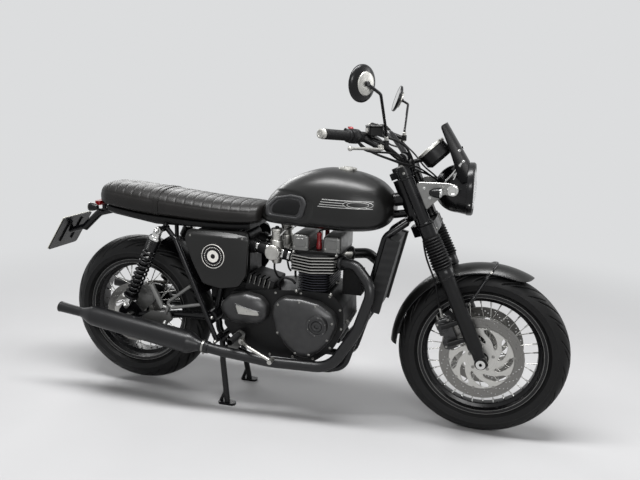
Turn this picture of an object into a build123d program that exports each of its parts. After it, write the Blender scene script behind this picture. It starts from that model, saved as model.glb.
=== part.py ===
from build123d import *
import os
from math import asin, atan2, cos, hypot, pi, radians, sin, sqrt

# Parallel-twin roadster in cafe racer trim, parked on its centre stand.
# Millimetres. +X is forward, +Y the rider's left, +Z up, z = 0 the floor.
# Stations along x are measured from mid-wheelbase; the finished pieces are
# moved by station_shift, so that x = 0 is the middle of the overall length.

# Chassis
wheelbase = 1445.0
rake = 25.0                 # steering axis, degrees from vertical
fork_offset = 40.0          # fork legs ahead of the steering axis
overall_length = 2178.0
rear_lift = 15.0            # rear tyre off the floor on the centre stand
gap = 0.3                   # running fit between separate pieces

# Wheels
front_tyre_radius, front_tyre_width = 318.6, 100.0
front_rim_radius, front_rim_width = 228.6, 70.0
rear_tyre_radius, rear_tyre_width = 321.0, 150.0
rear_rim_radius, rear_rim_width = 215.9, 108.0
rim_lip = 12.0
rim_wall = 5.0
spokes_per_wheel = 32
spoke_radius = 1.8
nipple_gap = 1.6
front_axle_radius = 10.0
front_axle_bore = 6.0
front_hub_end = 78.2
rear_axle_radius = 10.0
axle_clearance = 0.05

# Brakes
front_disc_radius, front_disc_thickness, front_disc_y = 155.0, 5.0, 72.0
rear_disc_radius, rear_disc_thickness, rear_disc_y = 127.0, 5.0, 86.0
disc_slots = 9

# Fork
leg_spacing = 106.0         # leg centre from the middle plane
stanchion_radius = 20.5
slider_radius = 27.0
foot_radius = 21.5
caliper_ahead, caliper_station = -80.0, 132.0   # caliper centre beside the leg
caliper_lugs = (98.0, 168.0)
stay_station = 220.0        # mudguard stay on the slider
slider_top = 372.0          # stations up the leg, from the axle
gaiter_top = 505.0
lower_yoke_top = 560.0
upper_yoke_bottom, upper_yoke_top = 735.0, 760.0
stem_radius = 14.0

# Handlebar
bar_radius = 11.1
bar_clamp = (385.0, 78.0, 1040.0)      # right-hand half, y outwards
bar_bend = (305.0, 178.0, 1119.0)
bar_end = (181.0, 400.0, 1137.0)
grip_radius = 17.0
grip_length = 118.0
perch_station = 186.0       # lever perch, in from the bar's tip
mirror_radius = 57.0

# Engine
crankcase_half = 115.0
cover_depth = 66.0
barrel_low, head_low, head_high = 520.0, 600.0, 668.0
cylinder_x = 75.0
cylinder_spacing = 60.0     # bore centre from the middle plane
port_z = 638.0
intake_z = 641.0
intake_length = 150.0
intake_dir = (-0.985, 0.0, 0.17)
exhaust_dir = (0.9, 0.436, 0.0)
sprocket_x, sprocket_z = -215.0, 400.0
front_sprocket_radius, rear_sprocket_radius = 36.0, 88.0
sprocket_width = 7.0
chain_y, chain_width, chain_height = 92.0, 16.0, 15.0
chain_pitch = 15.875
waist_radius, waist_depth = 5.0, 2.0    # scallop between two pins of the chain
hub_left, hub_right = 100.0, 91.2       # rear hub ends from the middle plane

# Frame
head_tube = 32.0
stem_clearance = 0.8
spine_radius = 26.0
tunnel_half = 32.0          # half width of the tank's tunnel over the spine
frame_tube = 14.0
rail_tube = 11.0
cradle_y = 62.0
strut_y = 153.0
boss_inner = 77.0           # inner face of the swingarm bosses
swingarm_pivot = (-345.0, 372.0)
swingarm_tube = 16.0
arm_y = 122.0
stand_pivot = (-310.0, 285.0)
lower_rail_z = 200.0
rail_z = 742.0
shock_low = (-714.0, 393.0)
shock_high = (-560.0, 718.0)
shock_y = 150.0

# Exhaust
pipe_radius = 21.0
pipe_wall = 2.0
silencer_radius = 45.0
silencer_wall = 3.0
silencer_start = (-352.0, 203.0, 276.0)   # y outwards
silencer_end = (-1000.0, 206.0, 367.0)

# Headlamp
lamp_x, lamp_z = 640.0, 939.0
lamp_radius = 97.0
lamp_depth = 135.0
ear_radius = 22.8           # sleeves that carry the headlamp brackets
indicator_radius = 18.5
front_indicator = (530.0, 143.0, 936.0)   # y outwards

# Tail
tail_x, tail_z = -906.0, 791.0

# Stations worked out from the sizes above
front_x, front_z = wheelbase / 2, front_tyre_radius
rear_x, rear_z = -wheelbase / 2, rear_tyre_radius + rear_lift
station_shift = overall_length / 2 - front_tyre_radius - front_x
slope = radians(rake)
steer_axis = Vector(-sin(slope), 0, cos(slope))
steer_foot = Vector(front_x - fork_offset * cos(slope), 0, front_z - fork_offset * sin(slope))


# Shared helpers

def save(name, *shapes):
    """Write one node, moved to the finished position."""
    solids = [solid for shape in shapes for solid in shape.solids()]
    whole = Compound(children=[Pos(station_shift, 0, 0) * solid for solid in solids])
    export_step(whole, f"parts/{name}.step")


def mirrored(shape):
    """The same piece on the other side of the middle plane."""
    return mirror(shape, about=Plane.XZ)


def tube(points, radius, bend):
    """A round tube through points, bent to the given radius or radii."""
    if len(points) == 2:
        path = Line(*points)
    else:
        path = FilletPolyline(*points, radius=bend)
    section = Plane(origin=path @ 0, z_dir=path % 0) * Circle(radius)
    return sweep(section, path=path)


def rod(start, end, radius, end_radius=None):
    """A straight round bar or cone between two points."""
    start, end = Vector(*start), Vector(*end)
    along = end - start
    plane = Plane(origin=start, z_dir=along)
    if end_radius is None:
        solid = Solid.make_cylinder(radius, along.length, plane)
    else:
        solid = Solid.make_cone(radius, end_radius, along.length, plane)
    return Part() + solid


def cross_bar(x, z, y_from, y_to, radius):
    """A round bar across the bike."""
    return rod((x, y_from, z), (x, y_to, z), radius)


def side_slab(sketch, y_from, y_to, taper=0):
    """A side-view sketch made solid between two distances to the right of the middle plane."""
    plane = Plane.XZ.offset(y_from)
    return extrude(plane * sketch, amount=y_to - y_from, taper=taper)


def outline(points, radius=0):
    """A closed sketch with its corners rounded."""
    face = make_face(Polyline(*points, close=True))
    if radius:
        face = fillet(face.vertices(), radius)
    return face


def turned(profile, axis_origin, axis_dir, arc=360):
    """A revolved solid."""
    return revolve(profile, axis=Axis(axis_origin, axis_dir), revolution_arc=arc)


def leg_point(t, side=1, ahead=0, out=0):
    """A point beside a fork leg, t up from the axle; side is +1 left, -1 right."""
    x = front_x - t * sin(slope) + ahead * cos(slope)
    z = front_z + t * cos(slope) + ahead * sin(slope)
    return Vector(x, side * (leg_spacing + out), z)


def leg_plane(t, side=1):
    """Plane across a fork leg, its x forward and its z up the leg."""
    return Plane(origin=leg_point(t, side), x_dir=(cos(slope), 0, sin(slope)), z_dir=steer_axis)


def head_point(t, ahead=0):
    """A point on the steering axis, at the height of fork station t."""
    return steer_foot + steer_axis * t + Vector(cos(slope), 0, sin(slope)) * ahead


def head_plane(t):
    return Plane(origin=head_point(t), x_dir=(cos(slope), 0, sin(slope)), z_dir=steer_axis)


def loaf(x, half, low, high, top_round, low_round):
    """A rounded section across the bike, for lofting along it."""
    height = high - low
    top_round = min(top_round, half - 1, height - low_round - 1)
    plane = Plane(origin=(x, 0, low), x_dir=(0, 1, 0), z_dir=(1, 0, 0))
    k = sqrt(0.5)
    c = half - top_round
    b = half - low_round
    lines = [
        Line((-b, 0), (b, 0)),
        ThreePointArc((b, 0), (b + low_round * k, low_round * (1 - k)), (half, low_round)),
        Line((half, low_round), (half, height - top_round)),
        ThreePointArc((half, height - top_round), (c + top_round * k, height - top_round * (1 - k)), (c, height)),
        Line((c, height), (-c, height)),
        ThreePointArc((-c, height), (-c - top_round * k, height - top_round * (1 - k)), (-half, height - top_round)),
        Line((-half, height - top_round), (-half, low_round)),
        ThreePointArc((-half, low_round), (-b - low_round * k, low_round * (1 - k)), (-b, 0)),
    ]
    return plane * make_face(Wire(lines))


# Wheels

def tyre(x, z, radius, width, rim_radius, rim_width):
    """Road tyre: round crown, bulged walls, beads on the rim."""
    half, bead = width / 2 - 2, rim_width / 2 - gap
    shoulder = radius - 0.38 * width
    low = rim_radius + gap
    wall_mid = (shoulder + low) / 2
    profile = make_face(Wire([
        ThreePointArc((-half, shoulder), (0, radius), (half, shoulder)),
        ThreePointArc((half, shoulder), (half * 0.97, wall_mid), (bead, low + 14)),
        Line((bead, low + 14), (bead, low)),
        Line((bead, low), (-bead, low)),
        Line((-bead, low), (-bead, low + 14)),
        ThreePointArc((-bead, low + 14), (-half * 0.97, wall_mid), (-half, shoulder)),
    ]))
    plane = Plane(origin=(x, 0, z), x_dir=(0, 1, 0), z_dir=(-1, 0, 0))
    return turned(plane * profile, (x, 0, z), (0, 1, 0))


def rim(x, z, rim_radius, rim_width):
    """Wire-wheel rim with a drop centre and rolled lips."""
    bead = rim_width / 2
    well = rim_radius - 18
    outer = [
        (bead, rim_radius + rim_lip), (bead, rim_radius), (bead * 0.62, rim_radius - 3),
        (bead * 0.42, well), (-bead * 0.42, well), (-bead * 0.62, rim_radius - 3),
        (-bead, rim_radius), (-bead, rim_radius + rim_lip),
    ]
    inner = [
        (-bead - rim_wall, rim_radius + rim_lip), (-bead - rim_wall, rim_radius - 4),
        (-bead * 0.66, rim_radius - 9), (-bead * 0.48, well - rim_wall),
        (bead * 0.48, well - rim_wall), (bead * 0.66, rim_radius - 9),
        (bead + rim_wall, rim_radius - 4), (bead + rim_wall, rim_radius + rim_lip),
    ]
    plane = Plane(origin=(x, 0, z), x_dir=(0, 1, 0), z_dir=(-1, 0, 0))
    return turned(plane * make_face(Polyline(*outer, *inner, close=True)), (x, 0, z), (0, 1, 0))


def hub(x, z, rim_radius, steps, flange_y, flange_radius, bore):
    """Turned hub with its flanges, laced to the rim by crossed spokes."""
    body = Part()
    for y_from, y_to, radius in steps:
        body += cross_bar(x, z, y_from, y_to, radius)
    reach = rim_radius - 18 - rim_wall - nipple_gap
    per_side = spokes_per_wheel // 2
    for side in (-1, 1):
        for k in range(per_side):
            lead = 1 if k % 2 else -1
            at_rim = 2 * pi * (k + (0.25 if side > 0 else -0.25)) / per_side
            at_hub = at_rim + lead * radians(42)
            foot = Vector(x + flange_radius * cos(at_hub), side * (flange_y + lead * 1.6), z + flange_radius * sin(at_hub))
            tip = Vector(x + reach * cos(at_rim), side * 7, z + reach * sin(at_rim))
            body += rod(foot, tip, spoke_radius)
            body += rod(tip - (tip - foot).normalized() * 14, tip, spoke_radius + 1.4)
    return body - cross_bar(x, z, -120, 120, bore)


def swirl_disc(x, z, y, radius, thickness, inner, band, bore):
    """Brake disc: drilled friction band on a carrier with curved windows."""
    face = Circle(radius) - Circle(bore)
    for k in range(disc_slots):
        turn = k * 360 / disc_slots
        window = outline(
            [(inner, -4), (inner + 18, 6), (band - 30, 12), (band - 8, 30), (band - 4, 46),
             (band - 24, 38), (inner + 22, 26), (inner + 2, 10)], 3.5)
        face -= Rot(0, 0, turn) * window
        for m in range(3):
            lane = band + 9 + m * (radius - band - 18) / 2
            face -= Rot(0, 0, turn + m * 9) * Pos(lane, 0) * Circle(2.4)
    plane = Plane(origin=(x, y - thickness / 2, z), x_dir=(1, 0, 0), z_dir=(0, 1, 0))
    return extrude(plane * face, amount=thickness)


def front_wheel():
    save("front_tyre", tyre(front_x, front_z, front_tyre_radius, front_tyre_width, front_rim_radius, front_rim_width))
    save("front_rim", rim(front_x, front_z, front_rim_radius, front_rim_width))
    seat = front_disc_y - front_disc_thickness / 2 - gap
    steps = [(-seat, seat, 24), (-34, -28, 40), (28, 34, 40), (-seat, -seat + 12, 42), (seat - 12, seat, 42),
             (-front_hub_end, front_hub_end, 27)]
    save("front_hub", hub(front_x, front_z, front_rim_radius, steps, 31, 36, front_axle_radius + axle_clearance))
    discs = [swirl_disc(front_x, front_z, side * front_disc_y, front_disc_radius, front_disc_thickness, 52, 118, 27 + gap)
             for side in (-1, 1)]
    save("front_discs", *discs)


def rear_wheel():
    save("rear_tyre", tyre(rear_x, rear_z, rear_tyre_radius, rear_tyre_width, rear_rim_radius, rear_rim_width))
    save("rear_rim", rim(rear_x, rear_z, rear_rim_radius, rear_rim_width))
    disc_seat = rear_disc_y - rear_disc_thickness / 2 - gap
    sprocket_seat = chain_y - sprocket_width / 2 - gap
    steps = [(-disc_seat, sprocket_seat, 30), (-48, -40, 52), (40, 62, 58), (-disc_seat, -disc_seat + 12, 44),
             (-hub_right, 0, 26), (0, hub_left, 24)]
    body = hub(rear_x, rear_z, rear_rim_radius, steps, 44, 48, rear_axle_radius + axle_clearance)
    save("rear_hub", body)
    disc = swirl_disc(rear_x, rear_z, -rear_disc_y, rear_disc_radius, rear_disc_thickness, 50, 96, 26 + gap)
    save("rear_disc", disc)
    save("rear_sprocket", sprocket())


def sprocket():
    """Rear sprocket with lightening windows; its teeth stay inside the fixed chain."""
    tip = rear_sprocket_radius - chain_height / 2 - 1.5
    teeth = 42
    face = Circle(tip) - Circle(24 + gap)
    for k in range(teeth):
        face -= Rot(0, 0, k * 360 / teeth) * Pos(tip + 1, 0) * Circle(3.4)
    for k in range(6):
        face -= Rot(0, 0, k * 60) * Pos(tip * 0.68, 0) * Circle(10)
    plane = Plane(origin=(rear_x, chain_y - sprocket_width / 2, rear_z), x_dir=(1, 0, 0), z_dir=(0, 1, 0))
    return extrude(plane * face, amount=sprocket_width)


# Frame and swingarm

def spine_tube(radius):
    return tube([head_point(650) + Vector(-8, 0, 0), (150, 0, 838), (-172, 0, 790)], radius, 200)


def gusset_tube(radius):
    return rod(head_point(590) + Vector(-12, 0, 0), (215, 0, 800), radius)


def cradle_points(side):
    """One cradle tube: down from the headstock, under the engine, up to the seat."""
    px, pz = stand_pivot
    ax, az = swingarm_pivot
    return [(416, side * 47, 806), (344, side * 80, 752), (266, side * 88, 420), (205, side * 90, lower_rail_z + 20),
            (140, side * 90, lower_rail_z), (-170, side * 84, lower_rail_z), (-262, side * 66, 222),
            (px - 28, side * cradle_y, pz + 10), (ax - 2, side * cradle_y, az + 28), (-300, side * cradle_y, 600),
            (-202, side * 74, 770)]


def cradle_tube(side, radius, points=None):
    """The cradle tube, or only its first points, at a given radius."""
    path = cradle_points(side)[:points]
    bends = [40, 90, 60, 50, 90, 60, 50, 60, 90]
    return tube(path, radius, bends[:len(path) - 2])


def seat_rail(side, radius):
    return tube([(-172, side * 76, 790), (-300, side * 84, rail_z), (-600, side * 90, rail_z),
                 (-800, side * 78, 768), (-862, side * 40, 774), (-862, 0, 774)], radius, [60, 60, 40, 30])


def strut_tube(side, radius):
    """Rear down-strut, from the shock mount to the stand pivot."""
    px, pz = stand_pivot
    return tube([(-545, side * 104, 716), (-495, side * 136, 686), (px, side * strut_y, pz)], radius, [20])


def main_frame():
    """Welded frame: headstock, spine, twin cradle, seat rails and rear struts."""
    frame = Part() + Solid.make_cylinder(head_tube, 162, head_plane(566))
    frame += spine_tube(spine_radius)
    frame += gusset_tube(15)
    frame += cross_bar(-172, 790, -84, 84, 14)
    for x, z in ((250, 858), (30, 820)):
        frame += cross_bar(x, z, 1.6 - tunnel_half, tunnel_half - 1.6, 9)
    for side in (-1, 1):
        frame += cradle_tube(side, frame_tube)
        frame += seat_rail(side, rail_tube)
        frame += strut_tube(side, 10)
        frame += cross_bar(*shock_high, side * 80, side * (shock_y - 20), 12)
        frame += cross_bar(*shock_high, side * 120, side * (shock_y + 14), 9)
        frame += rod((-560, side * 89, rail_z), (shock_high[0], side * 100, shock_high[1]), 10)
        frame += cross_bar(*stand_pivot, side * 50, side * strut_y, 8)
    for x, z, half, radius in ((150, lower_rail_z, 90, 11), (-190, lower_rail_z + 2, 82, 11), (-257, 665, 72, 11),
                               (412, 803, 50, 13), (-420, rail_z, 86, 9), (-560, rail_z, 89, 10), (-745, 761, 82, 9)):
        frame += cross_bar(x, z, -half, half, radius)
    frame += cross_bar(*swingarm_pivot, -boss_inner + gap, boss_inner - gap, 20)
    frame += cross_bar(*stand_pivot, -84, 84, 14)
    frame += side_stand_lug()
    frame -= cross_bar(*swingarm_pivot, -140, 140, 9 + gap)
    frame -= Solid.make_cylinder(stem_radius + stem_clearance, 200, head_plane(550))
    save("main_frame", frame)


def swingarm():
    """Two-sided arm with pivot bosses, brace, axle plates and chain adjusters."""
    arm = Part()
    for side in (-1, 1):
        arm += cross_bar(*swingarm_pivot, side * boss_inner, side * (arm_y + 10), 26)
        arm += tube([(swingarm_pivot[0], side * arm_y, swingarm_pivot[1]), (-500, side * arm_y, 366),
                     (rear_x + 52, side * arm_y, rear_z + 6)], swingarm_tube, 200)
        plate = side_slab(outline([(rear_x - 48, rear_z - 20), (rear_x + 60, rear_z - 20), (rear_x + 70, rear_z + 16),
                                   (shock_low[0] + 24, shock_low[1] + 6), (shock_low[0] - 20, shock_low[1] + 10),
                                   (rear_x - 48, rear_z + 20)], 10), arm_y - 8, arm_y + 8)
        arm += plate if side < 0 else mirrored(plate)
        arm += cross_bar(*shock_low, side * (arm_y - 8), side * (shock_y + 13), 8)
        arm += rod((rear_x - 56, side * arm_y, rear_z), (rear_x - 20, side * arm_y, rear_z), 7.5)
    arm += cross_bar(*swingarm_pivot, -arm_y, arm_y, 9)
    arm -= cross_bar(rear_x, rear_z, -160, 160, rear_axle_radius + gap)
    arm += cross_bar(swingarm_pivot[0] - 34, swingarm_pivot[1] - 4, -arm_y, arm_y, 10)
    save("swingarm", arm)
    axle = cross_bar(rear_x, rear_z, -arm_y - 22, arm_y + 22, rear_axle_radius)
    for side in (-1, 1):
        axle += cross_bar(rear_x, rear_z, side * (arm_y + 8 + gap), side * (arm_y + 20), 16)
    axle += cross_bar(rear_x, rear_z, hub_left + 0.8, arm_y - 8 - gap, 15)
    axle += cross_bar(rear_x, rear_z, -hub_right - 7.5, -arm_y + 8 + gap, 15)
    save("rear_axle", axle)


def shocks():
    """Twin shock absorbers: chromed shroud and body, then the black coil springs."""
    low, high = Vector(shock_low[0], -shock_y, shock_low[1]), Vector(shock_high[0], -shock_y, shock_high[1])
    along = (high - low).normalized()
    length = (high - low).length

    def at(distance):
        return low + along * distance

    body = cross_bar(*shock_low, -shock_y - 13, -shock_y + 13, 15)
    body += cross_bar(*shock_high, -shock_y - 13, -shock_y + 13, 15)
    body += rod(at(8), at(60), 13)
    body += rod(at(40), at(48), 31)
    body += rod(at(48), at(215), 15)
    body += rod(at(215), at(length - 14), 7)
    body += rod(at(length - 92), at(length - 40), 27)
    body += rod(at(length - 40), at(length - 24), 27, 17)
    body += rod(at(length - 24), at(length - 10), 17)
    body -= cross_bar(*shock_low, -shock_y - 30, -shock_y + 30, 8 + gap)
    body -= cross_bar(*shock_high, -shock_y - 30, -shock_y + 30, 9 + gap)
    spring_start, spring_end = 48 + gap, length - 92 - gap
    wire, coil = 4.6, 23.5
    turns = 10
    rise = spring_end - spring_start - 2 * wire
    plane = Plane(origin=at(spring_start + wire), z_dir=along)
    path = Helix(pitch=rise / turns, height=rise, radius=coil)
    section = Plane(origin=path @ 0, z_dir=path % 0) * RegularPolygon(wire, 8)    # few faces on a long helix
    spring = plane.location * sweep(section, path=path, is_frenet=True)
    save("shock_absorbers", body, mirrored(body))
    save("shock_springs", spring, mirrored(spring))


# Engine

def crankcase():
    """Cases with the sump, and a pocket at the left for the chain."""
    profile = outline([(-292, 345), (-300, 425), (-258, 486), (-60, 512), (20, barrel_low), (150, barrel_low),
                       (200, 470), (205, 380), (160, 290), (90, 236), (-120, 232), (-236, 270)], 16)
    body = side_slab(profile, -crankcase_half, crankcase_half)
    inner = chain_y - chain_width / 2 - 5
    body -= Pos(-280, (inner + 150) / 2, 398) * Box(280, 150 - inner, 128)
    body += cross_bar(sprocket_x, sprocket_z, inner - 5, chain_y + 4, front_sprocket_radius - chain_height / 2 - gap)
    fins = outline([(-210, 498), (-194, 562), (-84, 538), (-98, 492)], 6)
    block = side_slab(fins, -40, 98)
    for k in range(4):
        block -= Pos(-178 + k * 20, -86, 562 - k * 4.4) * Rot(0, -76, 0) * Box(66, 60, 8)
    body += block
    for x, z in ((208, 400), (186, 318)):
        body += cross_bar(x - 14, z, -70, 70, 12)
    save("crankcase", body)


def dome_cover(face, y_from, y_mid, y_to, edge):
    """An engine side cover: straight flange, then a drafted dome with a soft edge."""
    flange = side_slab(face, y_from, y_mid)
    dome = side_slab(face, y_mid, y_to, taper=24)
    cover = flange + dome
    top = cover.faces().sort_by(Axis.Y)[0]
    return fillet(top.edges(), edge)


def engine_covers():
    """Primary cover with its round cap, and the gearbox cover; alike on both sides."""
    primary = outline([(-76, 424), (-66, 474), (-30, 496), (42, 498), (112, 486), (172, 448), (186, 404),
                       (164, 345), (124, 296), (72, 262), (32, 262), (-10, 295), (-62, 356)], 24)
    start = crankcase_half + gap
    right = dome_cover(primary, start, start + 46, start + cover_depth, 6)
    cap_x, cap_z = 116, 408
    right += cross_bar(cap_x, cap_z, -(start + cover_depth - 8), -(start + cover_depth + 12), 40)
    right -= cross_bar(cap_x, cap_z, -(start + cover_depth + 4), -(start + cover_depth + 14), 31)
    right += cross_bar(cap_x, cap_z, -(start + cover_depth), -(start + cover_depth + 10), 19)
    right -= cross_bar(cap_x, cap_z, -(start + cover_depth + 2), -(start + cover_depth + 12), 10)
    rear = outline([(-292, 402), (-296, 440), (-262, 476), (-190, 495), (-126, 484), (-96, 448), (-98, 400),
                    (-128, 374), (-200, 364), (-260, 370)], 22)
    gearbox = dome_cover(rear, start, start + 30, start + 56, 6)
    window = outline([(-222, 450), (-132, 428), (-128, 416), (-208, 414)], 4)
    gearbox -= side_slab(window, start + 48, start + 62)
    insert = side_slab(outline([(-218, 446), (-134, 427), (-131, 418), (-206, 416.5)], 4), start + 48 + gap, start + 54)
    save("engine_covers", right, mirrored(right), gearbox, mirrored(gearbox), insert, mirrored(insert))


def fin_outline(side, end, middle):
    """Plan shape of a cooling fin, bowed out beside each cylinder."""
    points = [(-side, -end), (0, -middle), (side, -end), (side, end), (0, middle), (-side, end)]
    return outline(points, 22)


def top_end():
    """Finned barrel, finned head, and the cam cover with its two ridges."""
    barrel = Part()
    core = fin_outline(48, 96, 112)
    barrel += extrude(Plane.XY.offset(barrel_low + gap) * Pos(cylinder_x, 0) * core, amount=head_low - barrel_low - 2 * gap)
    for k in range(7):
        z = barrel_low + 8 + k * 10
        barrel += extrude(Plane.XY.offset(z) * Pos(cylinder_x, 0) * fin_outline(62, 112, 132), amount=3)
    save("cylinder_barrel", barrel)

    head = extrude(Plane.XY.offset(head_low) * Pos(cylinder_x, 0) * fin_outline(66, 100, 118), amount=head_high - head_low)
    for k in range(6):
        z = head_low + 2 + k * 11.6
        head += extrude(Plane.XY.offset(z) * Pos(cylinder_x, 0) * fin_outline(90, 120, 152), amount=4)
    for side in (-1, 1):
        head += rod(port_point(side, 40), port_point(side, 0), 26)
        head += rod(intake_point(side, -40), intake_point(side, 0), 25)
    save("cylinder_head", head)

    cover = Pos(cylinder_x + 6, 0, head_high + gap + 6) * Box(196, 216, 12)
    for x, width in ((cylinder_x - 54, 68), (cylinder_x + 70, 70)):
        ridge = Pos(x, 0, head_high + 42) * Box(width, 222, 62)
        ridge = fillet(ridge.edges().filter_by(Axis.Y), 14)
        ridge = fillet(ridge.faces().filter_by(Axis.Y).edges(), 6)
        cover += ridge
    caps = [rod((cylinder_x + 8, side * cylinder_spacing, head_high + 12 + 2 * gap),
                (cylinder_x + 8, side * cylinder_spacing, head_high + 78), 9.5) for side in (-1, 1)]
    save("cam_cover", cover, *caps)


def port_point(side, back):
    """A point on the exhaust port's centre line, back from its mouth."""
    dx, dy, dz = exhaust_dir
    return Vector(cylinder_x + 104 - back * dx, side * (cylinder_spacing + 22 - back * dy), port_z - back * dz)


def intake_point(side, along):
    """A point on the intake tract, along from the end of the head's stub."""
    dx, dy, dz = intake_dir
    return Vector(cylinder_x - 99 + along * dx, side * cylinder_spacing, intake_z + along * dz)


def induction():
    """Throttle bodies shaped like carburettors, with the air box behind them."""
    bodies = []
    x = cylinder_x - 165
    for side in (-1, 1):
        y = side * cylinder_spacing
        body = rod(intake_point(side, gap), intake_point(side, intake_length), 24)
        body += rod((x + 6, y, 608), (x + 2, y, 636), 18, 25)
        body += rod((x + 2, y, 636), (x, y, 700), 27)
        body += rod((x, y, 700), (x, y, 738), 21)
        body += rod((x, y, 738), (x, y, 748), 24)
        body += cross_bar(x - 6, 656, y, side * 104, 31)
        body += cross_bar(x - 6, 656, y, side * 109, 25)
        body += cross_bar(x + 14, 724, y, side * 84, 9)
        bodies.append(body)
    save("throttle_bodies", *bodies)
    box = Pos(-318, 0, 628) * Box(232, 128, 190)
    box = fillet(box.edges().filter_by(Axis.Y), 18)
    for side in (-1, 1):
        box += rod(intake_point(side, intake_length + gap), intake_point(side, intake_length + 44), 29)
        box += rod(intake_point(side, intake_length + 12), intake_point(side, intake_length + 20), 33)
        box -= cradle_tube(side, frame_tube + gap)
    box -= cross_bar(-257, 665, -120, 120, 11 + gap)
    save("air_box", box.solids().sort_by(SortBy.VOLUME)[-1])


def exhaust():
    """Header pipes sweeping out and back, and straight-through silencers."""
    headers, cans = [], []
    start, end = Vector(*silencer_start), Vector(*silencer_end)
    lead_in = start - (end - start).normalized() * 80
    for side in (-1, 1):
        points = [port_point(side, -gap), port_point(side, -72), (320, side * 160, 566), (268, side * 164, 404),
                  (168, side * 168, 240), (-70, side * 174, 234), (lead_in.X, side * lead_in.Y, lead_in.Z),
                  (start.X, side * start.Y, start.Z)]
        bends = [50, 70, 150, 110, 260, 150]
        header = tube(points, pipe_radius, bends) + rod(port_point(side, -gap), port_point(side, -9), 29)
        headers.append(header - tube(points, pipe_radius - pipe_wall, bends))
        a = Vector(start.X, side * start.Y, start.Z)
        along = (Vector(end.X, side * end.Y, end.Z) - a).normalized()
        length = (end - start).length
        wall = silencer_wall
        profile = [(0, 0), (0, 23), (14, 24), (52, silencer_radius), (length - 155, silencer_radius - 5),
                   (length - 108, 19), (length - 6, 21), (length, 23.5), (length, 20), (length - 6, 21 - wall),
                   (length - 108, 19 - wall), (length - 155, silencer_radius - 5 - wall),
                   (52, silencer_radius - wall), (16, 24 - wall), (wall, 20), (wall, 0)]
        plane = Plane(origin=a + along * gap, x_dir=along, z_dir=along.cross(Vector(0, 0, 1)))
        can = turned(plane * make_face(Polyline(*profile, close=True)), a, along)
        cans.append(can)
    save("exhaust_headers", *headers)
    save("silencers", *cans)


def radiator():
    """Slim radiator ahead of the downtubes, in a finned frame."""
    top, low = Vector(378, 0, 744), Vector(314, 0, 470)
    along = (top - low).normalized()
    height = (top - low).length
    plane = Plane(origin=(top + low) * 0.5, x_dir=(0, 1, 0), z_dir=along)
    body = Part() + plane.location * Box(206, 34, height)
    for side in (-1, 1):
        body += plane.location * Pos(side * 108, 0, 0) * Box(18, 52, height + 8)
    for k in range(10):
        body -= plane.location * Pos(0, 16, -height / 2 + 16 + k * (height - 32) / 9) * Box(190, 8, 14)
    for side in (-1, 1):
        body += rod((330, side * 84, 690), (368, side * 96, 690), 8)
        body -= cradle_tube(side, frame_tube + gap, 4)
    save("radiator", body.solids().sort_by(SortBy.VOLUME)[-1])


# Tank and seat

cap_radius = 36.0
tank_stations = (
    # station, half width, low, high, top rounding, low rounding
    (-152, 66, 768, 838, 50, 14),
    (-120, 96, 764, 882, 74, 16),
    (-40, 118, 760, 946, 92, 20),
    (90, 140, 757, 989, 110, 26),
    (210, 146, 757, 980, 112, 30),
    (300, 128, 768, 952, 96, 34),
    (346, 92, 792, 914, 60, 34),
    (364, 52, 824, 884, 28, 26),
)


def tank_body(grow=0.0):
    """The tank's outer form; grow stands the surface off by that much."""
    sections = [loaf(x, half + grow, low - grow, high + grow, top_round + grow, low_round + grow)
                for x, half, low, high, top_round, low_round in tank_stations]
    return loft(sections)


def fuel_tank():
    body = tank_body()
    tunnel = spine_tube(tunnel_half)
    tunnel += Pos(90, 0, 772) * Box(700, 2 * tunnel_half, 110)
    tunnel += Solid.make_cylinder(head_tube + 6, 420, head_plane(450))
    clear = body - tunnel - gusset_tube(21)
    cap_x, cap_z = 172, 984
    neck = rod((cap_x, 0, cap_z - 14), (cap_x, 0, cap_z + 20), cap_radius + gap)
    save("fuel_tank", (clear - neck).solids().sort_by(SortBy.VOLUME)[-1])
    cap = rod((cap_x, 0, cap_z - 14 + gap), (cap_x, 0, cap_z + 4), cap_radius)
    cap += rod((cap_x, 0, cap_z + 4), (cap_x, 0, cap_z + 10), cap_radius, cap_radius - 4)
    cap += rod((cap_x, 0, cap_z + 10), (cap_x, 0, cap_z + 14), 24, 20)
    save("fuel_cap", cap)
    pad = outline([(-134, 800), (-128, 840), (-90, 876), (-20, 892), (34, 888), (50, 864), (34, 812), (14, 798)], 14)
    pad = side_slab(pad, 60, 170) & tank_body(5.0)
    pad -= tank_body(gap)
    pad = pad.solids().sort_by(SortBy.VOLUME)[-1]
    save("knee_pads", pad, mirrored(pad))


seat_stations = (
    # station, half width, low, high, top rounding, low rounding
    (-888, 44, 806, 846, 18, 14),
    (-866, 78, 795, 876, 40, 18),
    (-822, 104, 786, 889, 46, 22),
    (-680, 120, 768, 881, 48, 24),
    (-500, 124, 757, 864, 48, 24),
    (-320, 122, 752, 848, 46, 24),
    (-200, 112, 756, 843, 42, 24),
    (-155, 92, 764, 840, 40, 20),
)


def seat():
    """Stepless bench seat, its low edge swept up at the tail; its base sits over the frame."""
    body = loft([loaf(*row) for row in seat_stations])
    body -= cross_bar(-172, 790, -200, 200, 14 + gap)
    body -= spine_tube(spine_radius + gap)
    for side in (-1, 1):
        body -= seat_rail(side, rail_tube + gap)
        body -= cradle_tube(side, frame_tube + gap)
    save("seat", body.solids().sort_by(SortBy.VOLUME)[-1])


panel_face = 150.0          # outermost point of a side panel
panel_bulge = 620.0         # radius of its bulged face


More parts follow.
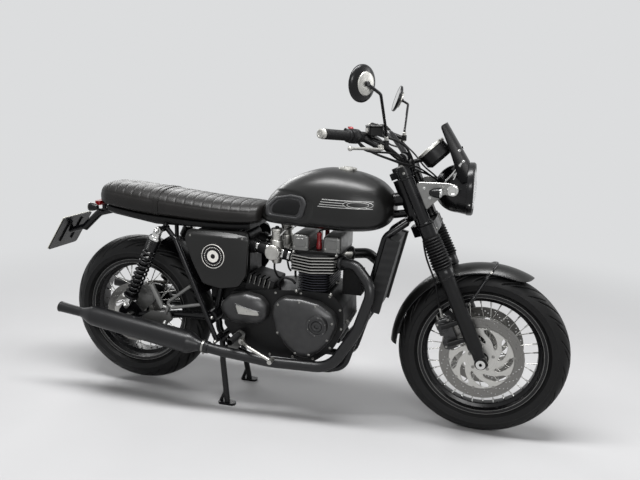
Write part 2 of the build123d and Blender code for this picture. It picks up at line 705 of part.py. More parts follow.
def side_panels():
    """Hollow side covers between the seat rails and the gearbox, their faces slightly bulged."""
    shape = outline([(-446, 728), (-196, 732), (-182, 700), (-192, 560), (-222, 512), (-300, 498), (-376, 512),
                     (-420, 600), (-458, 690)], 22)
    inner = outline([(-440, 723), (-201, 727), (-187, 698), (-197, 562), (-225, 517), (-300, 503), (-372, 517),
                     (-415, 602), (-452, 690)], 20)
    panel = side_slab(shape, 102, 160) & Pos(-320, panel_bulge - panel_face, 615) * Sphere(panel_bulge)
    panel = fillet(panel.faces().sort_by(Axis.Y)[0].edges(), 5)
    panel -= side_slab(inner, 90, panel_face - 26)
    panel += cross_bar(-250, 610, -64 - gap, -138, 8)
    panel += cross_bar(-385, 690, -64 - gap, -138, 8)
    save("side_panels", panel, mirrored(panel))


def arch(x, z, radius, half, lip, thickness, start, end):
    """A mudguard: a curved section swept round a wheel from one angle to another."""
    crown, inner = radius + thickness, radius
    profile = make_face(Wire([
        ThreePointArc((-half, crown - lip), (0, crown), (half, crown - lip)),
        Line((half, crown - lip), (half - thickness, inner - lip)),
        ThreePointArc((half - thickness, inner - lip), (0, inner), (-half + thickness, inner - lip)),
        Line((-half + thickness, inner - lip), (-half, crown - lip)),
    ]))
    begin = radians(start)
    plane = Plane(origin=(x, 0, z), x_dir=(0, 1, 0), z_dir=(sin(begin), 0, -cos(begin)))
    return turned(plane * profile, (x, 0, z), (0, -1, 0), end - start)


def rear_body():
    """Inner rear mudguard, tail bracket, blank plate, tail lamp and indicators."""
    guard = arch(rear_x, rear_z, rear_tyre_radius + 31, 84, 16, 3, 20, 68)
    guard += rod((-560, 0, 650), (-560, 0, rail_z - 10 - gap), 9)

    plate_top, plate_low = Vector(-1044, 0, 724), Vector(-1136, 0, 581)
    plate_half = 95
    along = (plate_top - plate_low).normalized()
    plane = Plane(origin=(plate_top + plate_low) * 0.5, x_dir=(0, 1, 0), z_dir=along)
    length = (plate_top - plate_low).length
    plate = plane.location * Box(2 * plate_half, 3, length)
    save("number_plate", Part() + plate)
    arm = tube([(-846, 0, 764), (-930, 0, 742), (-1010, 0, 668)], 16, 60)
    arm -= seat_rail(-1, rail_tube + gap)
    arm -= seat_rail(1, rail_tube + gap)
    edge_x, edge_z = plate_half + 2, length / 2 + 2
    backing = outline([(-edge_x, -edge_z), (edge_x, -edge_z), (edge_x, edge_z), (-edge_x, edge_z)], 12)
    ahead = Plane(origin=plane.origin, x_dir=(0, 1, 0), z_dir=plane.y_dir * -1).offset(1.5 + gap)
    arm += extrude(ahead * backing, amount=5)
    for side in (-1, 1):
        arm += extrude(ahead * Pos(side * 38, 0) * outline([(-7, -52), (7, -52), (7, 66), (-7, 66)], 5), amount=11)
    arm += rod((-1000, 0, 676), ahead.origin + ahead.z_dir * 3, 12)
    arm += rod((tail_x + 2, 0, 740), (tail_x + 2, 0, tail_z - 9 - gap), 11)
    for side in (-1, 1):
        arm += indicator_stalk(side, 6)
    arm -= plane.location * Box(2 * plate_half + 20, 3 + 2 * gap, length + 20)
    save("rear_mudguard", guard, arm.solids().sort_by(SortBy.VOLUME)[-1])
    lamp = Pos(tail_x, 0, tail_z) * Box(26, 104, 18)
    lamp = fillet(lamp.edges().filter_by(Axis.Z), 8)
    save("tail_lamp", lamp)
    lights = [bullet_lamp((tail_x - 8, side * 76, tail_z - 13), -1) - indicator_stalk(side, 6 + gap) for side in (-1, 1)]
    save("rear_indicators", *lights)


def indicator_stalk(side, radius):
    """Stalk from the tail arm out to a rear turn signal."""
    return rod((tail_x, 0, tail_z - 47), (tail_x - 8, side * 64, tail_z - 18), radius)


def bullet_lamp(centre, facing):
    """A small turn signal, its lens towards facing along x."""
    x, y, z = centre
    r = indicator_radius
    body = rod((x - facing * 30, y, z), (x - facing * 8, y, z), r * 0.5, r * 0.9)
    body += rod((x - facing * 8, y, z), (x + facing * 10, y, z), r * 0.9, r)
    body += rod((x + facing * 10, y, z), (x + facing * 16, y, z), r, r * 0.6)
    return body


# Steered parts

def fork():
    """Sliders, stanchions, gaiters and the two yokes with the stem."""
    sliders, tubes, bellows = [], [], []
    for side in (-1, 1):
        slider = Part() + Solid.make_cylinder(slider_radius, slider_top - 60, leg_plane(60, side))
        slider += Solid.make_cylinder(slider_radius + 4, 36, leg_plane(slider_top - 36, side))
        slider += Solid.make_cone(foot_radius, slider_radius, 20, leg_plane(40, side))
        slider += Solid.make_cylinder(foot_radius, 60, leg_plane(-20, side))
        slider += cross_bar(front_x, front_z, side * (leg_spacing - 22), side * (leg_spacing + 22), 23)
        for t in caliper_lugs:
            slider += rod(leg_point(t, side, 0), leg_point(t, side, caliper_ahead - 8), 10)
        slider += rod(leg_point(stay_station, side, 0), leg_point(stay_station, side, 41), 8)
        slider -= Solid.make_cylinder(stanchion_radius + gap, 200, leg_plane(slider_top - 110, side))
        slider -= cross_bar(front_x, front_z, side * 60, side * 160, front_axle_radius + gap)
        sliders.append(slider)
        tubes.append(Part() + Solid.make_cylinder(stanchion_radius, upper_yoke_top + 4 - slider_top + 108,
                                                  leg_plane(slider_top - 108, side))
                     + Solid.make_cylinder(24, 12, leg_plane(upper_yoke_top + gap, side)))
        folds = 11
        length = gaiter_top - slider_top - 2 * gap
        pitch = length / folds
        points = [(stanchion_radius + 4, 0), (33, 0)]
        for k in range(folds):
            points += [(39 - k * 0.4, pitch * (k + 0.5)), (31 - k * 0.2, pitch * (k + 1))]
        points += [(stanchion_radius + 4, length)]
        plane = leg_plane(slider_top + gap, side)
        section = Plane(origin=plane.origin, x_dir=plane.x_dir, z_dir=plane.y_dir * -1)
        bellows.append(turned(section * make_face(Polyline(*points, close=True)), plane.origin, steer_axis))
    save("fork_sliders", *sliders)
    save("fork_gaiters", *bellows)

    yokes = Part()
    for t_low, t_high, clamp in ((gaiter_top + gap, lower_yoke_top - 14, 31), (upper_yoke_bottom, upper_yoke_top, 28)):
        height = t_high - t_low
        span = outline([(-30, -34), (fork_offset + 22, -leg_spacing), (fork_offset + 30, -40), (fork_offset + 30, 40),
                        (fork_offset + 22, leg_spacing), (-30, 34)], 12)
        yokes += extrude(head_plane(t_low) * span, amount=height)
        for side in (-1, 1):
            yokes += Solid.make_cylinder(clamp, height, leg_plane(t_low, side))
    for t in (gaiter_top - 10, upper_yoke_bottom - 5):
        for side in (-1, 1):
            yokes -= Solid.make_cylinder(stanchion_radius + gap, 80, leg_plane(t, side))
    yokes += Solid.make_cylinder(stem_radius, upper_yoke_top - gaiter_top + 8, head_plane(gaiter_top + 6))
    yokes += Solid.make_cylinder(20, 14, head_plane(upper_yoke_top))
    for side in (-1, 1):
        base = Vector(bar_clamp[0] + 6, side * 50, 985)
        top = Vector(bar_clamp[0], side * 50, bar_clamp[2])
        yokes += rod(base, top, 15)
        yokes += rod((top.X, side * 36, top.Z), (top.X, side * 64, top.Z), 20)
    yokes -= handlebar_tube(gap)
    save("fork_yokes", yokes.solids().sort_by(SortBy.VOLUME)[-1], *tubes)

    axle = cross_bar(front_x, front_z, -leg_spacing - 32, leg_spacing + 32, front_axle_radius)
    for side in (-1, 1):
        axle += cross_bar(front_x, front_z, side * (leg_spacing + 22 + gap), side * (leg_spacing + 32), 17)
        axle += cross_bar(front_x, front_z, side * (front_hub_end + 0.8), side * (leg_spacing - 22 - gap), 15)
    axle -= cross_bar(front_x, front_z, -200, 200, front_axle_bore)
    save("front_axle", axle)


def handlebar_tube(grow=0.0):
    (cx, cy, cz), (bx, by, bz), (ex, ey, ez) = bar_clamp, bar_bend, bar_end
    points = [(ex, ey, ez), (bx, by, bz), (cx, cy, cz), (cx, -cy, cz), (bx, -by, bz), (ex, -ey, ez)]
    return tube(points, bar_radius + grow, [70, 50, 50, 70])


def bar_point(distance, side):
    """A point on the grip end of the bar, measured in from its tip."""
    end, bend = Vector(*bar_end), Vector(*bar_bend)
    point = end + (bend - end).normalized() * distance
    return Vector(point.X, side * point.Y, point.Z)


def controls():
    """Bar, grips, switch boxes, levers and the fluid reservoir."""
    grips, weights, boxes = [], [], []
    for side in (-1, 1):
        grip = rod(bar_point(4, side), bar_point(4 + grip_length, side), grip_radius)
        grip += rod(bar_point(4 + grip_length - 8, side), bar_point(4 + grip_length, side), grip_radius + 5)
        grips.append(grip - handlebar_tube(gap))
        weights.append(rod(bar_point(-16, side), bar_point(-gap, side), 15, 17))
        box = rod(bar_point(grip_length + 6, side), bar_point(grip_length + 48, side), 25)
        perch = rod(bar_point(grip_length + 52, side), bar_point(grip_length + 84, side), 18)
        pivot = lever_pivot(side)
        perch += rod(bar_point(perch_station, side), pivot, 10)
        perch += rod(pivot + Vector(0, 0, -9), pivot + Vector(0, 0, 9), 12)
        perch += rod(bar_point(perch_station + 8, side), mirror_foot(side) - Vector(0, 0, 12), 9)
        perch += rod(mirror_foot(side) - Vector(0, 0, 22), mirror_foot(side) - Vector(0, 0, gap), 10)
        if side < 0:
            cup = Pos(bar_point(perch_station + 22, side) + Vector(28, 0, 24)) * Rot(0, 0, 28) * Box(50, 60, 34)
            cup = fillet(cup.edges().filter_by(Axis.Z), 8)
            perch += cup
            perch += rod(bar_point(perch_station + 8, side), bar_point(perch_station + 18, side) + Vector(24, 0, 20), 10)
        mid = bar_point(90, side) + Vector(82, 0, -40)
        ball = bar_point(14, side) + Vector(80, 0, -42)
        lever = tube([pivot, pivot + Vector(8, side * 30, -4), mid, ball], 5.5, [14, 60])
        lever += Pos(ball) * Sphere(9)
        boxes += [box - handlebar_tube(gap), (perch + lever) - handlebar_tube(gap)]
    save("handlebar", handlebar_tube(), *weights)
    save("grips", *grips)
    save("bar_controls", *boxes)


def lever_pivot(side):
    return bar_point(perch_station, side) + Vector(66, 0, -34)


def mirror_foot(side):
    """Top of the boss that carries a mirror stem."""
    return lever_pivot(side) + Vector(14, -side * 28, 24)


mirror_places = (
    # side, bend of the stem, head centre, way the back of the head points
    (-1, (360, 398, 1264), (308, 430, 1294), (0.80, -0.58, -0.05)),
    (1, (334, 396, 1236), (282, 430, 1258), (0.92, 0.27, -0.30)),
)


def mirrors():
    stems = []
    for side, bend, head, aim in mirror_places:
        base = mirror_foot(side)
        knee, centre = (Vector(x, side * y, z) for x, y, z in (bend, head))
        back = Vector(*aim).normalized()
        stem = tube([base, base + Vector(0, 0, 20), knee, centre + back * 20], 5, [12, 26])
        stem += rod(base, base + Vector(0, 0, 12), 8)
        facing = Plane(origin=centre, z_dir=back)
        dish = Part() + Solid.make_cylinder(mirror_radius, 8, facing.offset(-6))
        dish += Solid.make_cone(mirror_radius, mirror_radius * 0.6, 10, facing.offset(2))
        dish += Solid.make_cylinder(mirror_radius * 0.6, 6, facing.offset(12))
        dish += rod(centre + back * 18, centre + back * 26, 9)
        stems.append(stem + dish)
    save("mirrors", *stems)


def headlamp():
    """Lamp bowl with a reflector dish, domed lens in its rim, and the brackets."""
    r = lamp_radius
    k = sqrt(0.5)
    outer, inner = r - 8, r - 14
    back = lamp_depth - outer
    bowl = make_face(Wire([
        Line((0, inner), (0, r - 6)),
        Line((0, r - 6), (-16, r - 6)),
        Line((-16, r - 6), (-16, r - 3)),
        Line((-16, r - 3), (-back, outer)),
        ThreePointArc((-back, outer), (-back - outer * k, outer * k), (-back - outer, 0)),
        Line((-back - outer, 0), (-inner, 0)),
        ThreePointArc((-inner, 0), (-inner * k, inner * k), (0, inner)),
    ]))
    plane = Plane(origin=(lamp_x, 0, lamp_z), x_dir=(1, 0, 0), z_dir=(0, -1, 0))
    shell = turned(plane * bowl, (lamp_x, 0, lamp_z), (1, 0, 0))
    for side in (-1, 1):
        shell += cross_bar(lamp_x - 62, lamp_z + 4, side * 86, side * (r - 3), 13)
    save("headlamp_shell", shell)
    bulge = 12.0
    sphere = ((r - 7) ** 2 + bulge ** 2) / (2 * bulge)
    half_angle = asin((r - 7) / sphere) / 2
    middle = 8 + bulge - sphere + sphere * cos(half_angle), sphere * sin(half_angle)
    glass = make_face(Wire([
        Line((gap, 0), (gap, r - 6 + gap)),
        Line((gap, r - 6 + gap), (-14, r - 6 + gap)),
        Line((-14, r - 6 + gap), (-14, r)),
        Line((-14, r), (3, r)),
        Line((3, r), (8, r - 7)),
        ThreePointArc((8, r - 7), middle, (8 + bulge, 0)),
        Line((8 + bulge, 0), (gap, 0)),
    ]))
    save("headlamp_lens", turned(plane * glass, (lamp_x, 0, lamp_z), (1, 0, 0)))

    ears = []
    for side in (-1, 1):
        sleeve_low, sleeve_high = lower_yoke_top - 14 + gap, upper_yoke_bottom - gap
        ear = Part() + Solid.make_cylinder(ear_radius, sleeve_high - sleeve_low, leg_plane(sleeve_low, side))
        for t in (sleeve_low, sleeve_high - 10):
            ear += Solid.make_cylinder(ear_radius + 4, 10, leg_plane(t, side))
        arm = outline([(446, 966), (560, 968), (lamp_x - 50, 962), (lamp_x - 46, 936), (lamp_x - 70, 922),
                       (548, 926), (512, 890), (486, 862), (462, 880)], 10)
        blade = side_slab(arm, r + 1, r + 8)
        ear += blade if side < 0 else mirrored(blade)
        ear -= Solid.make_cylinder(stanchion_radius + gap, 400, leg_plane(sleeve_low - 100, side))
        ear += cross_bar(lamp_x - 62, lamp_z + 4, side * (r - 3 + gap), side * (r + 15), 21)
        ear += front_stalk(side, 6)
        ears.append(ear)
    save("headlamp_brackets", *ears)
    x, y, z = front_indicator
    lights = [bullet_lamp((x, side * y, z), 1) - front_stalk(side, 6 + gap, gap) for side in (-1, 1)]
    save("front_indicators", *lights)


def front_stalk(side, radius, extra=0.0):
    """Stalk from a headlamp bracket out to its turn signal."""
    x, y, z = front_indicator
    return cross_bar(x, z, side * (lamp_radius + 4), side * (y - indicator_radius * 0.7 + extra), radius)


def instruments():
    """Twin clocks on a carrier behind the top yoke."""
    tilt = Plane(origin=(497, 0, 1066), x_dir=(0, 1, 0), z_dir=(-0.69, 0, 0.72))
    cups = Part()
    for side in (-1, 1):
        face = Plane(origin=tilt.origin + Vector(0, side * 56, 0), x_dir=(0, 1, 0), z_dir=tilt.z_dir)
        cup = Part() + Solid.make_cylinder(47, 40, face.offset(-26))
        cup += Solid.make_cone(34, 47, 12, face.offset(-38))
        cup += Solid.make_cylinder(50, 10, face.offset(14))
        cup -= Solid.make_cylinder(43, 6, face.offset(20))
        cups += cup
    cups += tilt.location * Pos(0, 0, -22) * Box(70, 56, 12)
    foot = head_point(upper_yoke_top + gap, 52)
    cups += Solid.make_cylinder(14, 16, Plane(origin=foot, z_dir=steer_axis))
    cups += rod(foot + steer_axis * 14, tilt.origin - tilt.z_dir * 22, 8)
    save("instruments", cups.solids().sort_by(SortBy.VOLUME)[-1])


def fly_screen():
    """Small curved screen above the headlamp, on two short arms."""
    low, high = Vector(lamp_x - 10, 0, lamp_z + lamp_radius - 4), Vector(536, 0, 1176)
    along = (high - low).normalized()
    length = (high - low).length
    bow, wall = 128, 4
    centre = low + Vector(-along.Z, 0, along.X) * bow
    plane = Plane(origin=centre - along * 60, x_dir=Vector(along.Z, 0, -along.X), z_dir=along)
    shell = Part() + Solid.make_cylinder(bow, length + 60, plane)
    shell -= Solid.make_cylinder(bow - wall, length + 60, plane)
    front = Plane(origin=centre - along * 60, x_dir=(0, 1, 0), z_dir=Vector(along.Z, 0, -along.X))
    shape = outline([(-104, 16), (-96, 70), (-66, 60 + length), (66, 60 + length), (96, 70), (104, 16)], 14)
    shape -= Pos(0, -28) * Circle(lamp_radius + 1.3)
    shell &= extrude(front * shape, amount=bow + 20)
    save("fly_screen", shell.solids().sort_by(SortBy.VOLUME)[-1])


def front_body():
    """Front mudguard with its hoop stay, and the two brake calipers."""
    guard = arch(front_x, front_z, 347, 62, 26, 3, 62, 178)
    for side in (-1, 1):
        at = leg_point(318, side)
        guard += cross_bar(at.X, at.Z, side * 57, side * (leg_spacing - slider_radius - gap), 9)
    lug = leg_point(stay_station, 1, 41 + gap)
    guard += tube([(lug.X, -lug.Y, lug.Z), (735, -64, 655), (757, 0, 672), (735, 64, 655), (lug.X, lug.Y, lug.Z)],
                  4.5, [40, 60, 40])
    for side in (-1, 1):
        guard -= rod(leg_point(stay_station, side, 0), leg_point(stay_station, side, 41 + gap), 8 + gap)
    save("front_mudguard", guard)
    calipers = []
    for side in (-1, 1):
        centre = leg_point(caliper_station, side, caliper_ahead)
        plane = Plane(origin=(centre.X, side * 70.75, centre.Z), x_dir=(cos(slope), 0, sin(slope)), z_dir=(0, 1, 0))
        block = Part() + plane.location * Box(60, 120, 49.5)
        block = fillet(block.edges().filter_by(lambda e: e.length > 70), 9)
        for along in (-28, 28):
            for face in (-24.75, 24.75):
                block -= plane.location * Pos(-6, along, face) * (Cylinder(19, 4) - Cylinder(15, 4))
                block -= plane.location * Pos(21, along * 1.7, face) * Cylinder(4, 6)
        block -= plane.location * Pos(-26, 0, 0) * Box(24, 34, 60)
        block -= Part() + Solid.make_cylinder(front_disc_radius + 6, 15, Plane(
            origin=(front_x, side * front_disc_y - 7.5, front_z), z_dir=(0, 1, 0)))
        calipers.append(block.solids().sort_by(SortBy.VOLUME)[-1])
    save("front_calipers", *calipers)


def caliper_boss(plane, place, radius, half, proud):
    """A piston or pin boss that stands proud on both faces of a caliper."""
    centre = plane.location * Pos(*place, 0)
    return centre * Cylinder(radius, 2 * (half + proud))


# Stands and foot controls

def centre_stand():
    """Two-legged stand; its feet sit ahead of the pivot, so the weight holds it down."""
    px, pz = stand_pivot
    stand = Part()
    for side in (-1, 1):
        stand += cross_bar(px, pz, side * 86, side * 110, 19)
        stand += tube([(px, side * 98, pz), (px + 6, side * 106, 180), (px + 31, side * 122, 10)], 12, 80)
        pad = Pos(px + 31, side * 123, 5) * Box(74, 32, 10)
        pad = fillet(pad.edges().filter_by(Axis.Z), 12)
        stand += pad
        stand += rod((px + 2, side * 120, 8), (px + 24, side * 117, 62), 7)
    stand += cross_bar(px + 2, 222, -102, 102, 10)
    stand += tube([(px + 14, 112, 120), (px + 2, 132, 110), (px - 34, 141, 104)], 7, 16)
    for side in (-1, 1):
        stand -= cross_bar(px, pz, side * 70, side * 140, 8 + 2 * gap)
    save("centre_stand", stand)


def side_stand_frame():
    """Pivot, folded direction, deployed direction and the pivot axis of the side stand."""
    pivot = Vector(-6, 122, 196)
    folded = Vector(-1, 0.10, 0.02).normalized()
    deployed = Vector(0.32, 0.52, -0.79).normalized()
    return pivot, folded, deployed, folded.cross(deployed).normalized()


def side_stand():
    pivot, folded, deployed, axis = side_stand_frame()
    reach = 196
    tip = pivot + folded * reach
    leg = rod(pivot, tip, 8.8, 7.5)
    leg += rod(pivot - axis * 9, pivot + axis * 9, 17)
    foot = Plane(origin=tip, x_dir=folded, z_dir=axis)
    leg += foot.location * Box(34, 40, 6)
    leg -= rod(pivot - axis * 30, pivot + axis * 30, 6 + gap)
    save("side_stand", leg)


def side_stand_lug():
    """Frame lug with the side stand's pin, inboard of the leg."""
    pivot, folded, deployed, axis = side_stand_frame()
    lug = rod(pivot - axis * 11, pivot + axis * 20, 6)
    lug += rod(pivot + axis * (9 + gap), pivot + axis * 22, 15)
    return lug + rod(pivot + axis * 21, Vector(pivot.X, 88, lower_rail_z), 10)


def foot_controls():
    """Rider pegs on hanger plates, brake and gear pedals, and pillion loops."""
    hangers, pedals, loops = [], [], []
    for side in (-1, 1):
        plate = side_slab(outline([(-276, 236), (-250, 232), (-196, 284), (-190, 330), (-214, 340), (-240, 318),
                                   (-262, 268)], 8), 140, 147)
        plate = plate if side < 0 else mirrored(plate)
        plate += cross_bar(-262, 248, side * 66, side * 146, 8)
        plate += cross_bar(-214, 322, side * 146, side * 244, 11)
        plate -= cradle_tube(side, frame_tube + gap)
        hangers.append(plate.solids().sort_by(SortBy.VOLUME)[-1])
    brake = tube([(-200, -156, 296), (-160, -200, 296), (-60, -222, 262)], 6.5, 24)
    brake += cross_bar(-52, 262, -244, -206, 9)
    brake += cross_bar(-200, 296, -147 - gap, -164, 12)
    gear = tube([(-200, 156, 296), (-160, 200, 300), (-66, 222, 300)], 5.5, 24)
    gear += cross_bar(-62, 300, 204, 250, 9)
    gear += cross_bar(-200, 296, 147 + gap, 164, 10)
    save("foot_pedals", brake, gear)
    for side in (-1, 1):
        loop = tube([(-378, side * 150, 428), (-506, side * 152, 400), (-530, side * 152, 418),
                     (-424, side * 150, 500)], 7, [10, 10])
        plate = side_slab(outline([(-656, 342), (-606, 377), (-518, 380), (-506, 350), (-534, 324)], 6), 148, 155)
        loop += plate if side < 0 else mirrored(plate)
        loop += rod((-522, side * 152, 404), (-536, side * 152, 372), 9)
        loop += rod((-548, side * 160, 400), (-588, side * 170, 496), 11)
        loop += rod((-530, side * 153, 398), (-550, side * 162, 406), 8)
        loop += rod((-540, side * 152, 338), (-540, side * 172, 322), 8)
        start, end = Vector(*silencer_start), Vector(*silencer_end)
        loop -= rod((start.X, side * start.Y, start.Z), (end.X, side * end.Y, end.Z), silencer_radius + gap)
        loop -= strut_tube(side, 10 + gap)
        loops.append(loop.solids().sort_by(SortBy.VOLUME)[-1])
    save("footrests", *hangers, *loops)


def chain_run(grow):
    """Closed wire round both sprockets, standing off the pitch line; the front sprocket is the origin."""
    span = hypot(rear_x - sprocket_x, rear_z - sprocket_z)
    rear_r, front_r = rear_sprocket_radius, front_sprocket_radius
    a = pi / 2 + atan2(rear_r - front_r, sqrt(span ** 2 - (rear_r - front_r) ** 2))
    fr, rr = front_r + grow, rear_r + grow
    front_up, front_down = (fr * cos(a), fr * sin(a)), (fr * cos(a), -fr * sin(a))
    rear_up, rear_down = (span + rr * cos(a), rr * sin(a)), (span + rr * cos(a), -rr * sin(a))
    return Wire([
        Line(front_up, rear_up),
        ThreePointArc(rear_up, (span + rr, 0), rear_down),
        Line(rear_down, front_down),
        ThreePointArc(front_down, (-fr, 0), front_up),
    ])


def drive_chain():
    """Closed chain loop, waisted between its pins as the link plates are."""
    half = chain_height / 2
    pitch_line = chain_run(0)
    links = round(pitch_line.length / chain_pitch)
    waists = []
    for k in range(links):
        place = pitch_line @ ((k + 0.5) / links)
        run = pitch_line % ((k + 0.5) / links)
        for side in (-1, 1):
            reach = side * (half + waist_radius - waist_depth)
            waists.append(Pos(place.X - run.Y * reach, place.Y + run.X * reach) * Circle(waist_radius))
    loop = make_face(chain_run(half)) - make_face(chain_run(-half)) - waists
    lean = atan2(rear_z - sprocket_z, rear_x - sprocket_x)
    plane = Plane(origin=(sprocket_x, chain_y - chain_width / 2, sprocket_z),
                  x_dir=(cos(lean), 0, sin(lean)), z_dir=(0, 1, 0))
    save("drive_chain", extrude(plane * loop, amount=chain_width))


def rear_caliper():
    """Caliper on a bracket plate carried by the axle."""
    angle = radians(52)
    plane = Plane(origin=(rear_x + 112 * cos(angle), -rear_disc_y, rear_z + 112 * sin(angle)),
                  x_dir=(cos(angle), 0, sin(angle)), z_dir=(0, 1, 0))
    block = Part() + plane.location * Box(52, 84, 30)
    block = fillet(block.edges().filter_by(Axis.Y), 7)
    for along in (-22, 20):
        block += caliper_boss(plane, (2, along), 15, 15, 3)
    block -= Solid.make_cylinder(rear_disc_radius + 5, 12, Plane(
        origin=(rear_x, -rear_disc_y - 6, rear_z), z_dir=(0, 1, 0)))
    tip = plane.origin
    bracket = outline([(rear_x - 20, rear_z - 14), (rear_x + 22, rear_z - 14), (tip.X + 26, tip.Z - 30),
                       (tip.X + 24, tip.Z + 16), (tip.X - 18, tip.Z + 30), (rear_x - 22, rear_z + 18)], 9)
    block += side_slab(bracket, hub_right + 1, hub_right + 7)
    block -= cross_bar(rear_x, rear_z, -160, 0, rear_axle_radius + gap)
    save("rear_caliper", block.solids().sort_by(SortBy.VOLUME)[-1])


os.makedirs("parts", exist_ok=True)
front_wheel()
rear_wheel()
main_frame()
swingarm()
shocks()
crankcase()
engine_covers()
top_end()
induction()
exhaust()
radiator()
fuel_tank()
seat()
side_panels()
rear_body()
fork()
controls()
mirrors()
headlamp()
instruments()
fly_screen()
front_body()
centre_stand()
side_stand()
foot_controls()
drive_chain()
rear_caliper()
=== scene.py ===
from math import asin, atan2, copysign, cos, degrees, exp, pi, radians, sin, sqrt, tan

import bmesh
import bpy
import numpy as np
from mathutils import Matrix, Vector


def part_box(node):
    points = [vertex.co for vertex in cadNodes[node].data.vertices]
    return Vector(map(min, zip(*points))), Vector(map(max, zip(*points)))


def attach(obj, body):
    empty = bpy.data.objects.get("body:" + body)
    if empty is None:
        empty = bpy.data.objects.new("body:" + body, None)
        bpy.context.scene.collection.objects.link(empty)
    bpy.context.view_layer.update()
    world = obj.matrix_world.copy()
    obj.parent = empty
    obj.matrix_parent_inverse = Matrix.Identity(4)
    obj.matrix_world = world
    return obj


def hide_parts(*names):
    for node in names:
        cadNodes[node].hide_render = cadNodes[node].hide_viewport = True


# Parallel-twin motorcycle in cafe racer trim, on its centre stand.
# Points are millimetre stations: x ahead of mid-wheelbase, y to the rider's left, z above the floor.
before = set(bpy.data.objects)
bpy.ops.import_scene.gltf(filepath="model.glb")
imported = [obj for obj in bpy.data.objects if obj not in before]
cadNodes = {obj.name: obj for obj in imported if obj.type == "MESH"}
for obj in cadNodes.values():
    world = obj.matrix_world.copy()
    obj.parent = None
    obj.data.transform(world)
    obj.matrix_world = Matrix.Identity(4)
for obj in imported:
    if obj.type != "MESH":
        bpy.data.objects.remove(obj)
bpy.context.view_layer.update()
print("frame loaded:", len(cadNodes), "pieces")


def middleOf(node):
    low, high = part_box(node)
    return (low + high) / 2


midWheelbase = (middleOf("front_tyre").x + middleOf("rear_tyre").x) / 2


def toMetres(point):
    return Vector((point[0] / 1000 + midWheelbase, point[1] / 1000, point[2] / 1000))


def toStation(point):
    return Vector(((point[0] - midWheelbase) * 1000, point[1] * 1000, point[2] * 1000))


bothSides = ((-1, "Right"), (1, "Left"))


# A point given with y outwards, on the left side (1) or the right (-1).
def sided(point, side):
    return Vector((point[0], side * point[1], point[2]))


frontAxle, rearAxle = toStation(middleOf("front_tyre")), toStation(middleOf("rear_tyre"))
steering = {"rake": 25.0, "legSpacing": 106.0}     # degrees, then mm from the middle
forkUp = Vector((-sin(radians(steering["rake"])), 0, cos(radians(steering["rake"]))))
forkAhead = Vector((forkUp.z, 0, -forkUp.x))


def legPoint(t, side, ahead=0, out=0):
    point = frontAxle + forkUp * t + forkAhead * ahead
    return Vector((point.x, side * (steering["legSpacing"] + out), point.z))


# Camera and studio
camera = {"place": (723.0, -2369.3, 1236.6), "yaw": 15.43, "pitch": 12.30, "roll": 1.51, "focalPixels": 633.9,
    "photoWidth": 640}
studio = {"backdrop": "#DCDDDE", "floor": "#BABABB", "worldLight": 0.2, "floorSize": 60.0, "plainFrom": 1.3,
    "plainTo": 3.6}
# Each softbox: place, aim and size in metres, and power in watts.
softboxes = {
    "topSoftbox": ((0.1, -0.5, 3.3), (0.0, 0.0, 0.6), (3.0, 0.6), 150),
    "rightSoftbox": ((1.6, -3.4, 2.2), (0.1, 0.0, 0.5), (2.0, 0.6), 50),
    "rearSoftbox": ((-2.6, 2.6, 2.4), (0.0, 0.0, 0.6), (2.4, 1.2), 55),
    "frontSoftbox": ((3.2, 1.2, 1.9), (0.2, 0.0, 0.6), (1.4, 1.6), 26),
}


def setCamera():
    yaw, pitch, roll = (radians(camera[k]) for k in ("yaw", "pitch", "roll"))
    ahead = Vector((-sin(yaw) * cos(pitch), cos(yaw) * cos(pitch), -sin(pitch)))
    level = Vector((cos(yaw), sin(yaw), 0))
    lift = level.cross(ahead)
    right = level * cos(roll) + lift * sin(roll)
    up = lift * cos(roll) - level * sin(roll)
    data = bpy.data.cameras.new("photoCamera")
    data.sensor_width = 36
    data.lens = camera["focalPixels"] * data.sensor_width / camera["photoWidth"]
    data.clip_end = 200
    view = bpy.data.objects.new("photoCamera", data)
    turn = Matrix((right, up, -ahead)).transposed().to_4x4()
    view.matrix_world = Matrix.Translation(toMetres(camera["place"])) @ turn
    bpy.context.scene.collection.objects.link(view)
    bpy.context.scene.camera = view


def areaLamp(name, place, target, size, power):
    data = bpy.data.lights.new(name, "AREA")
    data.shape, data.size, data.size_y, data.energy = "RECTANGLE", size[0], size[1], power
    lamp = bpy.data.objects.new(name, data)
    lamp.location = place
    lamp.rotation_euler = (Vector(target) - Vector(place)).to_track_quat("-Z", "Y").to_euler()
    bpy.context.scene.collection.objects.link(lamp)


# One node, with its settings by socket or property name and its links by socket name.
def addNode(tree, kind, settings=None, links=None):
    node = tree.nodes.new(kind)
    for name, value in (settings or {}).items():
        if isinstance(name, int) or name in node.inputs:
            node.inputs[name].default_value = value
        else:
            setattr(node, name, value)
    for name, socket in (links or {}).items():
        tree.links.new(socket, node.inputs[name])
    return node


def toLinear(hexColour):
    channels = [int(hexColour[k:k + 2], 16) / 255 for k in (1, 3, 5)]
    return [c / 12.92 if c <= 0.04045 else ((c + 0.055) / 1.055) ** 2.4 for c in channels] + [1.0]


# Rays that show the backdrop: the camera's own, and those that metal and glass send on.
def seenRays(tree):
    rays = addNode(tree, "ShaderNodeLightPath")
    seen = rays.outputs["Is Camera Ray"]
    for kind in ("Is Glossy Ray", "Is Transmission Ray"):
        seen = addNode(tree, "ShaderNodeMath", {"operation": "MAXIMUM"}, {0: seen, 1: rays.outputs[kind]}).outputs[0]
    return seen


